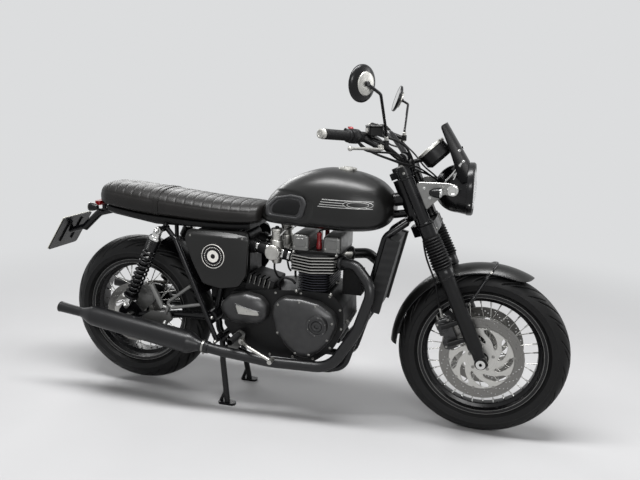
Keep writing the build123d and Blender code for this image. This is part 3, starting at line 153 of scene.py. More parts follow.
def setWorld():
    world = bpy.data.worlds.new("studio")
    bpy.context.scene.world = world
    world.use_nodes = True
    tree = world.node_tree
    tree.nodes.clear()
    shown = addNode(tree, "ShaderNodeBackground", {"Color": toLinear(studio["backdrop"]), "Strength": 1.0})
    light = addNode(tree, "ShaderNodeBackground", {"Color": toLinear("#FFFFFF"), "Strength": studio["worldLight"]})
    mix = addNode(tree, "ShaderNodeMixShader", {}, {0: seenRays(tree), 1: light.outputs[0], 2: shown.outputs[0]})
    addNode(tree, "ShaderNodeOutputWorld", {}, {"Surface": mix.outputs[0]})


setCamera()
setWorld()
for name, settings in softboxes.items():
    areaLamp(name, *settings)
bpy.context.scene.view_settings.view_transform = "Standard"
print("camera and studio set")


# Materials. Base values start from the real finish, then are matched to the photograph.
def newMaterial(name, colour, metallic, roughness, coat=0.0, shine=0.5, coatRoughness=0.12):
    material = bpy.data.materials.new(name)
    material.use_nodes = True
    tree = material.node_tree
    shader = tree.nodes["Principled BSDF"]
    shader.inputs["Base Color"].default_value = toLinear(colour)
    for socket, value in (("Metallic", metallic), ("Roughness", roughness), ("Coat Weight", coat),
            ("Specular IOR Level", shine), ("Coat Roughness", coatRoughness)):
        shader.inputs[socket].default_value = value
    return material, tree, shader


# Noise in the piece's own space; size is the width of one blotch or grain in mm.
def blotches(tree, size, detail=3.0):
    space = addNode(tree, "ShaderNodeTexCoord")
    scaled = addNode(tree, "ShaderNodeMapping", {"Scale": [1000 / size] * 3}, {"Vector": space.outputs["Object"]})
    noise = addNode(tree, "ShaderNodeTexNoise", {"Scale": 1.0, "Detail": detail}, {"Vector": scaled.outputs[0]})
    return noise.outputs[0]


# Roughness that drifts from place to place, as handling and dust leave it.
def unevenGloss(tree, shader, low, high, size):
    spread = addNode(tree, "ShaderNodeMapRange", {"From Min": 0.3, "From Max": 0.7, "To Min": low, "To Max": high},
        {"Value": blotches(tree, size)})
    tree.links.new(spread.outputs[0], shader.inputs["Roughness"])


def mixedTones(tree, shader, factor, dark, light):
    mix = addNode(tree, "ShaderNodeMix", {"data_type": "RGBA"}, {"Factor": factor})
    mix.inputs[6].default_value = toLinear(dark)
    mix.inputs[7].default_value = toLinear(light)
    tree.links.new(mix.outputs[2], shader.inputs["Base Color"])


def relief(tree, shader, height, depth, strength=1.0):
    bump = addNode(tree, "ShaderNodeBump", {"Distance": depth / 1000, "Strength": strength}, {"Height": height})
    tree.links.new(bump.outputs[0], shader.inputs["Normal"])


# Tones are two close colours, blotch size in mm and detail; gloss is the least and most roughness and blotch size;
# grain is size in mm, detail, depth in mm and strength.
def finish(name, colour, metallic, roughness, tones=None, gloss=None, grain=None, **shell):
    material, tree, shader = newMaterial(name, colour, metallic, roughness, **shell)
    if tones:
        mixedTones(tree, shader, blotches(tree, *tones[2:]), *tones[:2])
    if gloss:
        unevenGloss(tree, shader, *gloss)
    if grain:
        relief(tree, shader, blotches(tree, *grain[:2]), *grain[2:])
    return material


# Sprayed graphite enamel under a satin lacquer: broad soft highlights with a faint metal flake.
paint = finish("satinGraphiteEnamel", "#111111", 0.2, 0.34, coat=0.05, shine=0.42, coatRoughness=0.3,
               tones=("#0F0F0F", "#161615", 0.9, 1.0), gloss=(0.3, 0.38, 90))      # flake of 0.1 mm drawn at 0.9 mm
# Sprayed and baked gloss enamel on steel tube: dark, with narrow bright highlights.
enamel = finish("bakedBlackEnamel", "#08080A", 0.0, 0.25, shine=0.3, gloss=(0.2, 0.32, 60))
# Powder coat on cast aluminium: dull black with a fine orange peel, of 0.5 mm drawn at 1.4 mm.
castBlack = finish("powderCoatedAluminium", "#0D0D0E", 0.1, 0.42, shine=0.26, tones=("#0B0B0B", "#121213", 40),
    gloss=(0.36, 0.48, 35), grain=(1.4, 2.0, 0.05, 0.5))
# Die-cast aluminium, lightly bead blasted: pale grey with a soft grain, of 0.2 mm drawn at 1.2 mm.
castSilver = finish("beadBlastedAluminium", "#B4B3AE", 1.0, 0.42, tones=("#9E9D99", "#C2C1BC", 22),
    gloss=(0.34, 0.5, 18), grain=(1.2, 2.0, 0.04, 0.5))
# Bright chrome on polished steel: a near mirror with faint wiping marks.
chrome = finish("chromePlatedSteel", "#C9C9C7", 1.0, 0.1, gloss=(0.06, 0.16, 30))
# Zinc-plated steel fasteners: dull silver.
boltSteel = finish("zincPlatedSteel", "#8E8E8B", 1.0, 0.38, tones=("#7A7A78", "#A09F9B", 6))
# Drawn stainless spoke wire: thin bright lines.
spokeSteel = finish("drawnStainlessSteel", "#C4C3BF", 1.0, 0.22, gloss=(0.18, 0.3, 12))
# Moulded tyre tread compound: dark grey, dull, a little dusty.
tread = finish("mouldedTyreRubber", "#0C0C0D", 0.0, 0.56, shine=0.22, tones=("#0A0A0B", "#111111", 55),
    gloss=(0.42, 0.58, 40), grain=(1.5, 3.0, 0.06, 0.4))
# Moulded black rubber: gaiters, grips, pads and pegs; soft sheen.
rubber = finish("mouldedBlackRubber", "#09090A", 0.0, 0.5, shine=0.22, gloss=(0.45, 0.62, 25))
# Moulded rubber of the knee pads' raised rim, clearly greyer than the tank's satin paint and the pads' black inner
# rubber: a painted highlight on the rim.
padRimPaintedHighlight = finish("kneePadRimPaintedHighlight", "#2E2E2F", 0.0, 0.5, shine=0.4, tones=("#28282A", "#353536", 22))
# Ceramic-coated steel: matte black that greys slightly with heat.
exhaustFinish = finish("ceramicCoatedSteel", "#111112", 0.25, 0.36, tones=("#0D0D0E", "#171719", 130),
    gloss=(0.32, 0.4, 80))
# Injection-moulded ABS: fine spark texture.
plastic = finish("mouldedAbs", "#09090A", 0.0, 0.42, shine=0.22, gloss=(0.38, 0.52, 20), grain=(1.0, 1.0, 0.03, 0.4))
# Vacuum-formed smoked acrylic, glossy on both faces.
smoked = finish("smokedAcrylic", "#020203", 0.0, 0.3, shine=0.1, gloss=(0.22, 0.3, 50))
# Vacuum-metallised reflector bowl: a mirror.
reflector = finish("metallisedReflector", "#D8D8D6", 1.0, 0.06, gloss=(0.04, 0.1, 20))
# Moulded red nylon: plug caps and the stop switch, softly shiny.
red = finish("mouldedRedNylon", "#8E1B1F", 0.0, 0.4, coat=0.1, tones=("#7A1418", "#A02428", 14))
# Moulded acrylic lenses with prisms behind a smooth face: lively tones under a gloss.
redLens = finish("redLensAcrylic", "#9A1518", 0.0, 0.12, coat=0.5, tones=("#5E0A0C", "#9A1518", 5, 1.0))
clearLens = finish("clearLensAcrylic", "#DADBDB", 0.0, 0.12, coat=0.5, tones=("#A9ABAD", "#DADBDB", 5, 1.0))
# Dial card and screen-printed ink: even and dull.
dialBlack = finish("dialCardBlack", "#101011", 0.0, 0.5, tones=("#101011", "#101011", 5))
dialWhite = finish("dialInkWhite", "#E4E2DC", 0.0, 0.5, tones=("#E4E2DC", "#E4E2DC", 5))
# Retroreflective sheet on the blank number plate: even off-white with a tiny bead texture.
sheetPale = finish("reflectiveSheet", "#CFCDBE", 0.0, 0.35, coat=0.3, tones=("#C9C7B8", "#D4D2C4", 3, 1.0))
# Oiled chain: dark steel plates, brighter where they rub.
chainFinish = finish("oiledChainSteel", "#4A4946", 1.0, 0.4, tones=("#2C2B2A", "#6E6C67", 9))

# Cast aluminium and bracket steel under a dark anodised or graphite coat: a metal sheen, much darker than bare metal.
coatedMetals = {"graphiteCoatedAluminium": ("#383839", "#464646", 0.36), "anodisedCamCover": ("#6C6C6B", "#7C7C7A",
    0.36), "satinBracketSteel": ("#7A7A79", "#8A8A88", 0.34)}
graphite, camGrey, earGrey = (
    finish(name, dark, 0.75, roughness, tones=(dark, light, 26), gloss=(roughness - 0.06, roughness + 0.07, 22),
           grain=(1.3, 2.0, 0.04, 0.4)) for name, (dark, light, roughness) in coatedMetals.items())


def seatVinyl():
    # Embossed black seat vinyl: leather grain with a warm low sheen.
    material, tree, shader = newMaterial("embossedSeatVinyl", "#11100F", 0.0, 0.4, shine=0.3)
    mixedTones(tree, shader, blotches(tree, 70), "#0E0D0C", "#161413")
    space = addNode(tree, "ShaderNodeTexCoord")
    cells = addNode(tree, "ShaderNodeTexVoronoi", {"Scale": 1000 / 3.2, "feature": "DISTANCE_TO_EDGE"},
                    {"Vector": space.outputs["Object"]})      # grain of 1 mm drawn at 3.2 mm
    unevenGloss(tree, shader, 0.36, 0.5, 45)
    relief(tree, shader, cells.outputs["Distance"], 0.12, 0.35)
    return material


def lampGlass():
    # Pressed lamp glass: clear, with a faint sheen.
    material, _, shader = newMaterial("pressedLampGlass", "#FFFFFF", 0.0, 0.02)
    shader.inputs["Transmission Weight"].default_value = 1.0
    shader.inputs["IOR"].default_value = 1.5
    material.use_screen_refraction = False
    return material


def radiatorCore():
    # Louvred black fins: rows of 1.2 mm fins drawn at 5 mm.
    material, tree, shader = newMaterial("louvredRadiatorCore", "#111112", 0.3, 0.5)
    space = addNode(tree, "ShaderNodeTexCoord")
    rows = addNode(tree, "ShaderNodeTexWave", {"Scale": 1000 / 5 / 20, "bands_direction": "Z"},
        {"Vector": space.outputs["Object"]})
    relief(tree, shader, rows.outputs["Fac"], 1.0, 0.8)
    return material


# Rings round a wheel's axle, as a lathe or a pad leaves them; pitch in mm.
def axleRings(tree, centre, pitch):
    space = addNode(tree, "ShaderNodeTexCoord")
    shifted = addNode(tree, "ShaderNodeVectorMath", {"operation": "SUBTRACT", 1: toMetres(centre)},
        {0: space.outputs["Object"]})
    flat = addNode(tree, "ShaderNodeVectorMath", {"operation": "MULTIPLY", 1: (1, 0, 1)}, {0: shifted.outputs[0]})
    reach = addNode(tree, "ShaderNodeVectorMath", {"operation": "LENGTH"}, {0: flat.outputs[0]})
    turns = addNode(tree, "ShaderNodeMath", {"operation": "MULTIPLY", 1: 1000 / pitch}, {0: reach.outputs["Value"]})
    return addNode(tree, "ShaderNodeTexNoise", {"noise_dimensions": "1D", "Scale": 1.0, "Detail": 2.0},
        {"W": turns.outputs[0]}).outputs[0]


def discSteel(name, centre, dark, light):
    # Ground stainless brake disc: rings from the pads, brighter in some bands than others.
    material, tree, shader = newMaterial(name, "#A9A8A4", 1.0, 0.34)
    rings = axleRings(tree, centre, 2.2)       # pad scoring of 0.3 mm drawn at 2.2 mm
    mixedTones(tree, shader, rings, dark, light)
    relief(tree, shader, rings, 0.05, 0.6)
    return material


def finnedMetal(name, mask):
    # Black-coated casting whose fin edges are machined bright; the mask picks the outer rim of each fin.
    material, tree, shader = newMaterial(name, "#1A1A1B", 0.0, 0.45)
    space = addNode(tree, "ShaderNodeTexCoord")
    shape = addNode(tree, "ShaderNodeNewGeometry")
    place = addNode(tree, "ShaderNodeSeparateXYZ", {}, {0: space.outputs["Object"]})
    facing = addNode(tree, "ShaderNodeSeparateXYZ", {}, {0: shape.outputs["Normal"]})
    sockets = {"x": place.outputs["X"], "y": place.outputs["Y"], "lift": facing.outputs["Z"]}
    # Each step's result, operation, fixed number and inputs
    for result, operation, number, inputs in (
            ("flat", "ABSOLUTE", None, {0: "lift"}), ("upright", "LESS_THAN", 0.5, {0: "flat"}),
            ("along", "SUBTRACT", toMetres((mask["middle"], 0, 0)).x, {0: "x"}),
            ("ahead", "ABSOLUTE", None, {0: "along"}), ("across", "ABSOLUTE", None, {0: "y"}),
            ("leaning", "MULTIPLY_ADD", mask["lean"], {0: "ahead", 2: "across"}),
            ("wide", "GREATER_THAN", mask["across"] / 1000, {0: "leaning"}),
            ("long", "GREATER_THAN", mask["ahead"] / 1000, {0: "ahead"}),
            ("outer", "MAXIMUM", None, {0: "wide", 1: "long"}),
            ("bright", "MULTIPLY", None, {0: "outer", 1: "upright"})):
        settings = {"operation": operation} if number is None else {"operation": operation, 1: number}
        step = addNode(tree, "ShaderNodeMath", settings, {n: sockets[name] for n, name in inputs.items()})
        sockets[result] = step.outputs[0]
    mixedTones(tree, shader, sockets["bright"], "#1A1A1B", mask["edge"])
    tree.links.new(sockets["bright"], shader.inputs["Metallic"])
    unevenGloss(tree, shader, 0.3, 0.48, 20)
    return material


vinyl, glass, coreFinish = seatVinyl(), lampGlass(), radiatorCore()
headFins = finnedMetal("machinedHeadFins", {"middle": 75, "lean": 0.28, "across": 136, "ahead": 78, "edge": "#A3A29E"})
barrelFins = finnedMetal("coatedBarrelFins", {"middle": 75, "lean": 0.28, "across": 124, "ahead": 56,
    "edge": "#34343A"})
print("materials made:", len(bpy.data.materials))


# Shapes are (points, faces) in millimetre stations.
def turned(profile, origin, axis, steps=64, loop=False):
    along = Vector(axis).normalized()
    side = along.orthogonal().normalized()
    other = along.cross(side)
    points, rows = [], []
    for distance, radius in profile:
        centre = Vector(origin) + along * distance
        if radius < 1e-6:
            rows.append([len(points)])
            points.append(centre)
            continue
        rows.append(list(range(len(points), len(points) + steps)))
        points += [centre + (side * cos(2 * pi * k / steps) + other * sin(2 * pi * k / steps)) * radius
            for k in range(steps)]
    faces = []
    for low, high in zip(rows, rows[1:] + (rows[:1] if loop else [])):
        for k in range(steps):
            ring = [low[k % len(low)], low[(k + 1) % steps % len(low)], high[(k + 1) % steps % len(high)],
                high[k % len(high)]]
            face = [v for n, v in enumerate(ring) if v not in ring[:n]]
            if len(face) > 2:
                faces.append(face)
    if not loop:
        faces += [row for row in (rows[0], rows[-1]) if len(row) > 2]
    return points, faces


# A turned shape closed to its axis at both ends.
def solid(profile, origin, axis, steps=64):
    return turned([(profile[0][0], 0)] + profile + [(profile[-1][0], 0)], origin, axis, steps)


# A turned shape with its flat end faces taken off.
def openEnded(shape):
    return shape[0], [face for face in shape[1] if len(face) < 5]


# Corners of a lathe profile made round, ends kept.
def smoothProfile(corners, passes=2):
    line = [Vector(p) for p in corners]
    for _ in range(passes):
        cut = [line[0]]
        for a, b in zip(line, line[1:]):
            cut += [a * 0.75 + b * 0.25, a * 0.25 + b * 0.75]
        line = cut + [line[-1]]
    return [(p.x, max(0.0, p.y)) for p in line]


# Small rings along a lathe profile, between two stations.
def ridges(start, end, outer, inner, count):
    step = (end - start) / count
    return [(start + step * (k + share), radius) for k in range(count) for share, radius in ((0.0, outer),
        (0.4, outer), (0.55, inner), (0.85, inner))]


def lofted(rows, capped=True, closed=True):
    count = len(rows[0])
    points = [p for row in rows for p in row]
    faces = []
    for r in range(len(rows) - 1):
        for k in range(count if closed else count - 1):
            n = (k + 1) % count
            faces.append([r * count + k, r * count + n, (r + 1) * count + n, (r + 1) * count + k])
    if capped:
        faces += [list(range(count)), list(range(len(points) - count, len(points)))]
    return points, faces


# Straight runs joined by tangent arcs, one radius for each corner.
def bentPath(corners, radii, stepDegrees=7):
    corners = [Vector(p) for p in corners]
    path = [corners[0]]
    for before, corner, after, radius in zip(corners, corners[1:], corners[2:], radii):
        inward, onward = (corner - before).normalized(), (after - corner).normalized()
        turn = inward.angle(onward)
        if turn < 0.01:
            path.append(corner)
            continue
        start = corner - inward * radius * tan(turn / 2)
        centre = corner + (onward - inward).normalized() * radius / cos(turn / 2)
        axis = inward.cross(onward).normalized()
        steps = max(2, int(degrees(turn) / stepDegrees))
        path += [centre + Matrix.Rotation(turn * k / steps, 3, axis) @ (start - centre) for k in range(steps + 1)]
    return path + [corners[-1]]


# A smooth line through a few points.
def smoothPath(corners, per=8):
    corners = [Vector(p) for p in corners]
    padded = [corners[0] * 2 - corners[1]] + corners + [corners[-1] * 2 - corners[-2]]
    path = []
    for a, b, c, d in zip(padded, padded[1:], padded[2:], padded[3:]):
        for k in range(per):
            t = k / per
            path.append(0.5 * ((2 * b) + (c - a) * t + (2 * a - 5 * b + 4 * c - d) * t * t + (3 * b - a - 3 * c + d)
                * t ** 3))
    return path + [corners[-1]]


def swept(path, radius, sides=12, section=None, capped=True, closed=False):
    path = [Vector(p) for p in path]
    count = len(path)
    radii = radius if isinstance(radius, (list, tuple)) else [radius] * count
    section = section or [(cos(2 * pi * k / sides), sin(2 * pi * k / sides)) for k in range(sides)]
    rows, normal = [], None
    for k, point in enumerate(path):
        before = path[k - 1] if k or closed else point
        after = path[(k + 1) % count] if k < count - 1 or closed else point
        along = (after - before).normalized()
        if normal is None:
            normal = along.orthogonal().normalized()
        normal = (normal - along * normal.dot(along)).normalized()
        other = along.cross(normal)
        rows.append([point + (normal * a + other * b) * radii[k] for a, b in section])
    points, faces = lofted(rows, capped and not closed)
    if closed:
        n, last = len(section), (count - 1) * len(section)
        faces += [[last + k, last + (k + 1) % n, (k + 1) % n, k] for k in range(n)]
    return points, faces


# Corners of a flat outline made round; radius in mm.
def roundedOutline(corners, radius, steps=5):
    corners = [Vector((a, b)) for a, b in corners]
    line = []
    for k, corner in enumerate(corners):
        before, after = corners[k - 1], corners[(k + 1) % len(corners)]
        inward, onward = (corner - before).normalized(), (after - corner).normalized()
        turn = inward.angle(onward)
        back = min(radius * tan(turn / 2), 0.48 * (corner - before).length, 0.48 * (after - corner).length)
        start, end = corner - inward * back, corner + onward * back
        for n in range(steps + 1):
            t = n / steps
            line.append(start * (1 - t) ** 2 + corner * 2 * t * (1 - t) + end * t ** 2)
    return line


# The same closed outline with its long runs cut into steps.
def finer(line, step):
    result = []
    for p, q in zip(line, line[1:] + line[:1]):
        count = max(1, int((q - p).length / step))
        result += [p + (q - p) * k / count for k in range(count)]
    return result


def meanOf(points):
    return sum(points, Vector([0] * len(points[0]))) / len(points)


def grown(line, amount):
    area = sum(a.x * b.y - b.x * a.y for a, b in zip(line, line[1:] + line[:1]))
    turn = 1 if area > 0 else -1
    result = []
    for k, point in enumerate(line):
        run = line[(k + 1) % len(line)] - line[k - 1]
        result.append(point + Vector((run.y, -run.x)).normalized() * amount * turn)
    return result


# A flat outline made solid on a plane given by its origin and two directions, with softened rims.
def plate(line, origin, right, up, low, high, rim=0.8):
    origin, right, up = Vector(origin), Vector(right).normalized(), Vector(up).normalized()
    out = right.cross(up)
    thin = grown(line, -rim)
    levels = ((low, thin), (low + rim, line), (high - rim, line), (high, thin))
    return lofted([[origin + right * p.x + up * p.y + out * level for p in ring] for level, ring in levels])


# Side-view plate between two distances from the middle plane.
def sidePlate(line, side, yFrom, yTo, rim=0.8):
    shape = plate(line, (0, 0, 0), (1, 0, 0), (0, 0, 1), yFrom, yTo, rim)
    return shape if side < 0 else mirrored(shape)


def mirrored(shape):
    points, faces = shape
    return [Vector((p[0], -p[1], p[2])) for p in points], [list(reversed(f)) for f in faces]


def block(centre, size, turn=None):
    turn = turn or Matrix.Identity(3)
    corners = [Vector(centre) + turn @ Vector((x * size[0] / 2, y * size[1] / 2, z * size[2] / 2)) for z in (-1,
        1) for x, y in ((-1, -1), (1, -1), (1, 1), (-1, 1))]
    return corners, [[3, 2, 1, 0], [4, 5, 6, 7], [0, 1, 5, 4], [1, 2, 6, 5], [2, 3, 7, 6], [3, 0, 4, 7]]


def ball(centre, radius, steps=20):
    profile = [(-radius * cos(pi * k / 12), radius * sin(pi * k / 12)) for k in range(13)]
    profile[0], profile[-1] = (-radius, 0), (radius, 0)
    return turned(profile, centre, (0, 0, 1), steps)


# Cap screw or hex bolt, standing on a face.
def bolt(place, facing, size, hexHead=True, height=0.6):
    facing = Vector(facing).normalized()
    tall = size * height
    collar = turned([(0, 0), (0, size * 0.98), (tall * 0.2, size * 0.98), (tall * 0.25, 0)], place, facing, 16)
    steps = 6 if hexHead else 20
    head = solid([(tall * 0.2, size * 0.78), (tall * 0.9, size * 0.78), (tall, size * 0.66), (tall, size * 0.4),
        (tall * 0.6, size * 0.36)], place, facing, steps)
    return joined([collar, head])


def joined(shapes):
    points, faces = [], []
    for shapePoints, shapeFaces in shapes:
        base = len(points)
        points += list(shapePoints)
        faces += [[base + v for v in face] for face in shapeFaces]
    return points, faces


# Lists of shapes, each list with the next material.
def grouped(*lists):
    return [(joined(shapes), slot) for slot, shapes in enumerate(lists)]


# One piece from shapes, each with the number of its material, riding on a body.
def makePiece(name, body, parts, materials, replaced=(), sharp=38, edge=0.0):
    points, faces, slots = [], [], []
    for part in parts:
        (shapePoints, shapeFaces), slot = part if isinstance(part[1], int) else (part, 0)
        base = len(points)
        points += [toMetres(p) for p in shapePoints]
        faces += [[base + v for v in face] for face in shapeFaces]
        slots += [slot] * len(shapeFaces)
    mesh = bpy.data.meshes.new(name)
    mesh.from_pydata(points, [], faces)
    mesh.polygons.foreach_set("material_index", slots)
    for material in materials:
        mesh.materials.append(material)
    work = bmesh.new()
    work.from_mesh(mesh)
    bmesh.ops.recalc_face_normals(work, faces=work.faces)
    work.to_mesh(mesh)
    work.free()
    mesh.shade_smooth()
    mesh.set_sharp_from_angle(angle=radians(sharp))
    piece = bpy.data.objects.new(name, mesh)
    bpy.context.scene.collection.objects.link(piece)
    if edge:
        soft = piece.modifiers.new("softEdges", "BEVEL")
        soft.width, soft.segments, soft.limit_method, soft.angle_limit = edge / 1000, 2, "ANGLE", radians(35)
    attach(piece, body)
    if replaced:
        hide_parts(*replaced)
    return piece


def dress(node, material):
    piece = cadNodes[node]
    if not piece.material_slots:
        piece.data.materials.append(material)
    for place in piece.material_slots:
        place.material = material
    piece.data.shade_smooth()
    piece.data.set_sharp_from_angle(angle=radians(34))


# Wheels and tyres; the rim's sizes serve the tyre, the rim and the spokes.
wheels = {
    "front": {"body": "front_wheel", "axle": frontAxle, "rimRadius": 228.6, "rimWidth": 70.0},
    "rear": {"body": "rear_wheel", "axle": rearAxle, "rimRadius": 215.9, "rimWidth": 108.0},
}
rimShape = {"lip": 12, "wall": 5, "well": 18, "nippleGap": 1.6}
# Grooves are long slanted cuts; each row gives where it starts and ends across the tread, its width, how far it leans
# along the tread for each mm across, and its phase round the tyre.
tyres = {
    "front": {"radius": 318.6, "width": 100.0, "steps": 760, "across": 54, "repeats": 18, "depth": 5.0,
        "grooves": ((3, 52, 5.4, 2.2, 0.0), (22, 60, 4.2, 1.6, 0.5))},
    "rear": {"radius": 321.0, "width": 150.0, "steps": 660, "across": 76, "repeats": 15, "depth": 5.5,
        "grooves": ((4, 80, 7.4, 1.7, 0.0), (34, 92, 5.6, 1.3, 0.5))},
}


def arcThrough(a, b, c, count):
    a, b, c = Vector(a), Vector(b), Vector(c)
    d = 2 * (a.x * (b.y - c.y) + b.x * (c.y - a.y) + c.x * (a.y - b.y))
    ux = (a.length_squared * (b.y - c.y) + b.length_squared * (c.y - a.y) + c.length_squared * (a.y - b.y)) / d
    uy = (a.length_squared * (c.x - b.x) + b.length_squared * (a.x - c.x) + c.length_squared * (b.x - a.x)) / d
    centre = Vector((ux, uy))
    start = a - centre
    sweep = -start.angle_signed(b - centre) - (b - centre).angle_signed(c - centre)
    return [centre + Matrix.Rotation(sweep * k / count, 2) @ start for k in range(count + 1)]


def makeTyre(key):
    spec, wheel = tyres[key], wheels[key]
    half, bead = spec["width"] / 2 - 2, wheel["rimWidth"] / 2 - 0.3
    shoulder, low = spec["radius"] - 0.38 * spec["width"], wheel["rimRadius"] + 0.3
    wallMid = (shoulder + low) / 2
    crown = arcThrough((-half, shoulder), (0, spec["radius"]), (half, shoulder), spec["across"])
    wall = arcThrough((half, shoulder), (half * 0.97, wallMid), (bead, low + 14), 20)[1:]
    other = [Vector((-p.x, p.y)) for p in reversed(wall)]
    line = other + crown + wall + [Vector((bead, low)), Vector((bead - 7, low)), Vector((-bead + 7, low)),
        Vector((-bead, low))]
    count, steps = len(line), spec["steps"]
    flat = np.array([(p.x, p.y) for p in line])
    run = np.roll(flat, -1, 0) - np.roll(flat, 1, 0)
    normal = np.stack([run[:, 1], -run[:, 0]], 1)
    normal /= np.linalg.norm(normal, axis=1)[:, None]
    normal *= np.where((normal * (flat - np.array([0, wallMid]))).sum(1) < 0, -1, 1)[:, None]
    middle = len(other) + spec["across"] // 2
    stride = np.linalg.norm(np.diff(flat, axis=0), axis=1)
    across = np.concatenate([[0], np.cumsum(stride)])
    across -= across[middle]
    angle = np.arange(steps) * 2 * pi / steps
    around = angle[:, None] * spec["radius"]
    pitch = 2 * pi * spec["radius"] / spec["repeats"]
    inward = np.zeros((steps, count))
    for start, end, width, lean, phase in spec["grooves"]:
        for side, shift in ((1, 0.0), (-1, 0.5)):
            u = across[None, :] * side
            centreLine = lean * u + 0.006 * u ** 2 + (phase + shift) * pitch
            offset = (around - centreLine + pitch / 2) % pitch - pitch / 2
            offset = np.abs(offset) / sqrt(1 + lean ** 2)
            ends = np.clip((u - start) / 6, 0, 1) * np.clip((end - u) / 8, 0, 1)
            cut = np.clip((width / 2 * (0.45 + 0.55 * ends) - offset) / 1.3, 0, 1) * ends ** 0.5
            inward = np.maximum(inward, cut * spec["depth"])
    onWall = (flat[:, 1] < shoulder - 4) & (flat[:, 1] > low + 16)
    for ringRadius, width in ((shoulder - 7, 2.2), (low + 24, 2.6)):
        inward = inward - 2.2 * np.exp(-((flat[:, 1] - ringRadius) / width) ** 2)[None, :] * onWall[None, :]
    inward = inward + 0.8 * onWall[None, :]
    place = flat[None, :, :] - normal[None, :, :] * inward[:, :, None]
    place[:, -4:, :] = flat[None, -4:, :]
    x = wheel["axle"].x + place[:, :, 1] * np.cos(angle)[:, None]
    z = wheel["axle"].z + place[:, :, 1] * np.sin(angle)[:, None]
    points = np.stack([x, place[:, :, 0], z], 2).reshape(-1, 3)
    ring, spot = np.arange(steps)[:, None] * count, np.arange(count)[None, :]
    nextRing, nextSpot = (ring + count) % (steps * count), (spot + 1) % count
    faces = np.stack([ring + spot, ring + nextSpot, nextRing + nextSpot, nextRing + spot], 2).reshape(-1, 4)
    makePiece(key + "Tyre", wheel["body"], [(points.tolist(), faces.tolist())], [tread], [key + "_tyre"], 50)


def makeRim(key):
    wheel = wheels[key]
    bead, radius, lip, wall = wheel["rimWidth"] / 2, wheel["rimRadius"], rimShape["lip"], rimShape["wall"]
    well = radius - rimShape["well"]
    corners = [(bead, radius + lip), (bead, radius), (bead * 0.62, radius - 3), (bead * 0.42, well),
        (-bead * 0.42, well), (-bead * 0.62, radius - 3), (-bead, radius), (-bead, radius + lip),
        (-bead - wall, radius + lip), (-bead - wall, radius - 4), (-bead * 0.66, radius - 9),
        (-bead * 0.48, well - wall), (bead * 0.48, well - wall), (bead * 0.66, radius - 9), (bead + wall, radius - 4),
        (bead + wall, radius + lip)]
    line = [(p.x, p.y) for p in roundedOutline(corners, 3.5, 3)]
    axle = (wheel["axle"].x, 0, wheel["axle"].z)
    parts = [(turned(line, axle, (0, 1, 0), 144, True), 0)]
    # Thin grey metal rings along each lip's outer and inner edge: painted highlights on the black rim's lips.
    for side in (-1, 1):
        for across, reach in ((bead + wall, radius + lip - 2.5), (bead + wall - 0.4, radius - 3.2)):
            ring = [(side * (across - 0.6), reach - 1.1), (side * (across + 0.7), reach - 0.7),
                (side * (across + 0.7), reach + 0.7), (side * (across - 0.6), reach + 1.1)]
            parts.append((turned(ring, axle, (0, 1, 0), 144, True), 1))
    makePiece(key + "Rim", wheel["body"], parts, [enamel, camGrey], [key + "_rim"], 50)


hubs = {
    "spokes": 32, "lean": 42, "wire": 2.0,
    "front": {"flangeY": 31, "flange": 36,
        "profile": ((-78, 10.1), (-78, 27), (-70, 27), (-69, 42), (-58, 42), (-54, 26), (-36, 24), (-34, 40),
        (-28, 40), (-25, 24), (0, 22), (25, 24), (28, 40), (34, 40), (36, 24), (54, 26), (58, 42),
        (69, 42), (70, 27), (78, 27), (78, 10.1))},
    "rear": {"flangeY": 44, "flange": 48,
        "profile": ((-91, 10.1), (-91, 26), (-83.2, 26), (-83, 44), (-71, 44), (-66, 30), (-49, 30), (-48, 52),
        (-40, 52), (-36, 30), (0, 28), (36, 32), (40, 58), (62, 58), (66, 30), (88, 30), (88.3, 24),
        (100, 24), (100, 10.1))},
}


def makeHub(key):
    spec, wheel = hubs[key], wheels[key]
    axle = Vector((wheel["axle"].x, 0, wheel["axle"].z))
    shell = turned(spec["profile"], axle, (0, 1, 0), 56, True)
    makePiece(key + "Hub", wheel["body"], [shell], [castBlack], [key + "_hub"], 30, 0.6)
    reach = wheel["rimRadius"] - rimShape["well"] - rimShape["wall"] - rimShape["nippleGap"]
    perSide = hubs["spokes"] // 2
    wires, nipples = [], []
    for side in (-1, 1):
        for k in range(perSide):
            lead = 1 if k % 2 else -1
            atRim = 2 * pi * (k + 0.25 * side) / perSide
            atHub = atRim + lead * radians(hubs["lean"])
            foot = axle + Vector((spec["flange"] * cos(atHub), side * (spec["flangeY"] + lead * 4.5),
                spec["flange"] * sin(atHub)))
            tip = axle + Vector((reach * cos(atRim), side * 7, reach * sin(atRim)))
            along = (tip - foot).normalized()
            head = Vector((foot.x, side * (spec["flangeY"] - lead * 4), foot.z))
            wires.append(swept([head, foot - Vector((0, side * lead * 1.5, 0)), foot + along * 3, tip], hubs["wire"],
                8))
            nipples.append(turned([(-16, 0), (-16, 2.4), (-14, 3.1), (-2, 3.4), (1.2, 4.4), (1.5, 0)], tip, along, 8))
            nipples.append(turned([(0, 0), (0, 3.4), (1.4, 2.6), (1.6, 0)], head, (0, -side * lead, 0), 8))
    makePiece(key + "Spokes", wheel["body"], grouped(wires, nipples), [spokeSteel, chrome], [key + "_hub"], 45)


discs = {
    "slots": 9, "windowStart": 60, "windowEnd": 113, "windowSweep": 50, "windowWidth": 22.5, "holeRadius": 2.6,
    "front": {"node": "front_discs", "places": (-72, 72), "radius": 155, "bore": 27.3, "band": 118},
    "rear": {"node": "rear_disc", "places": (-86,), "radius": 127, "bore": 26.3, "band": 96},
}


# A closed straight-segment spline in a flat curve; the curve fills between its loops.
def addLoop(curve, line):
    spline = curve.splines.new("POLY")
    spline.points.add(len(line) - 1)
    for place, point in zip(spline.points, line):
        place.co = (point[0] / 1000, point[1] / 1000, 0, 1)
    spline.use_cyclic_u = True


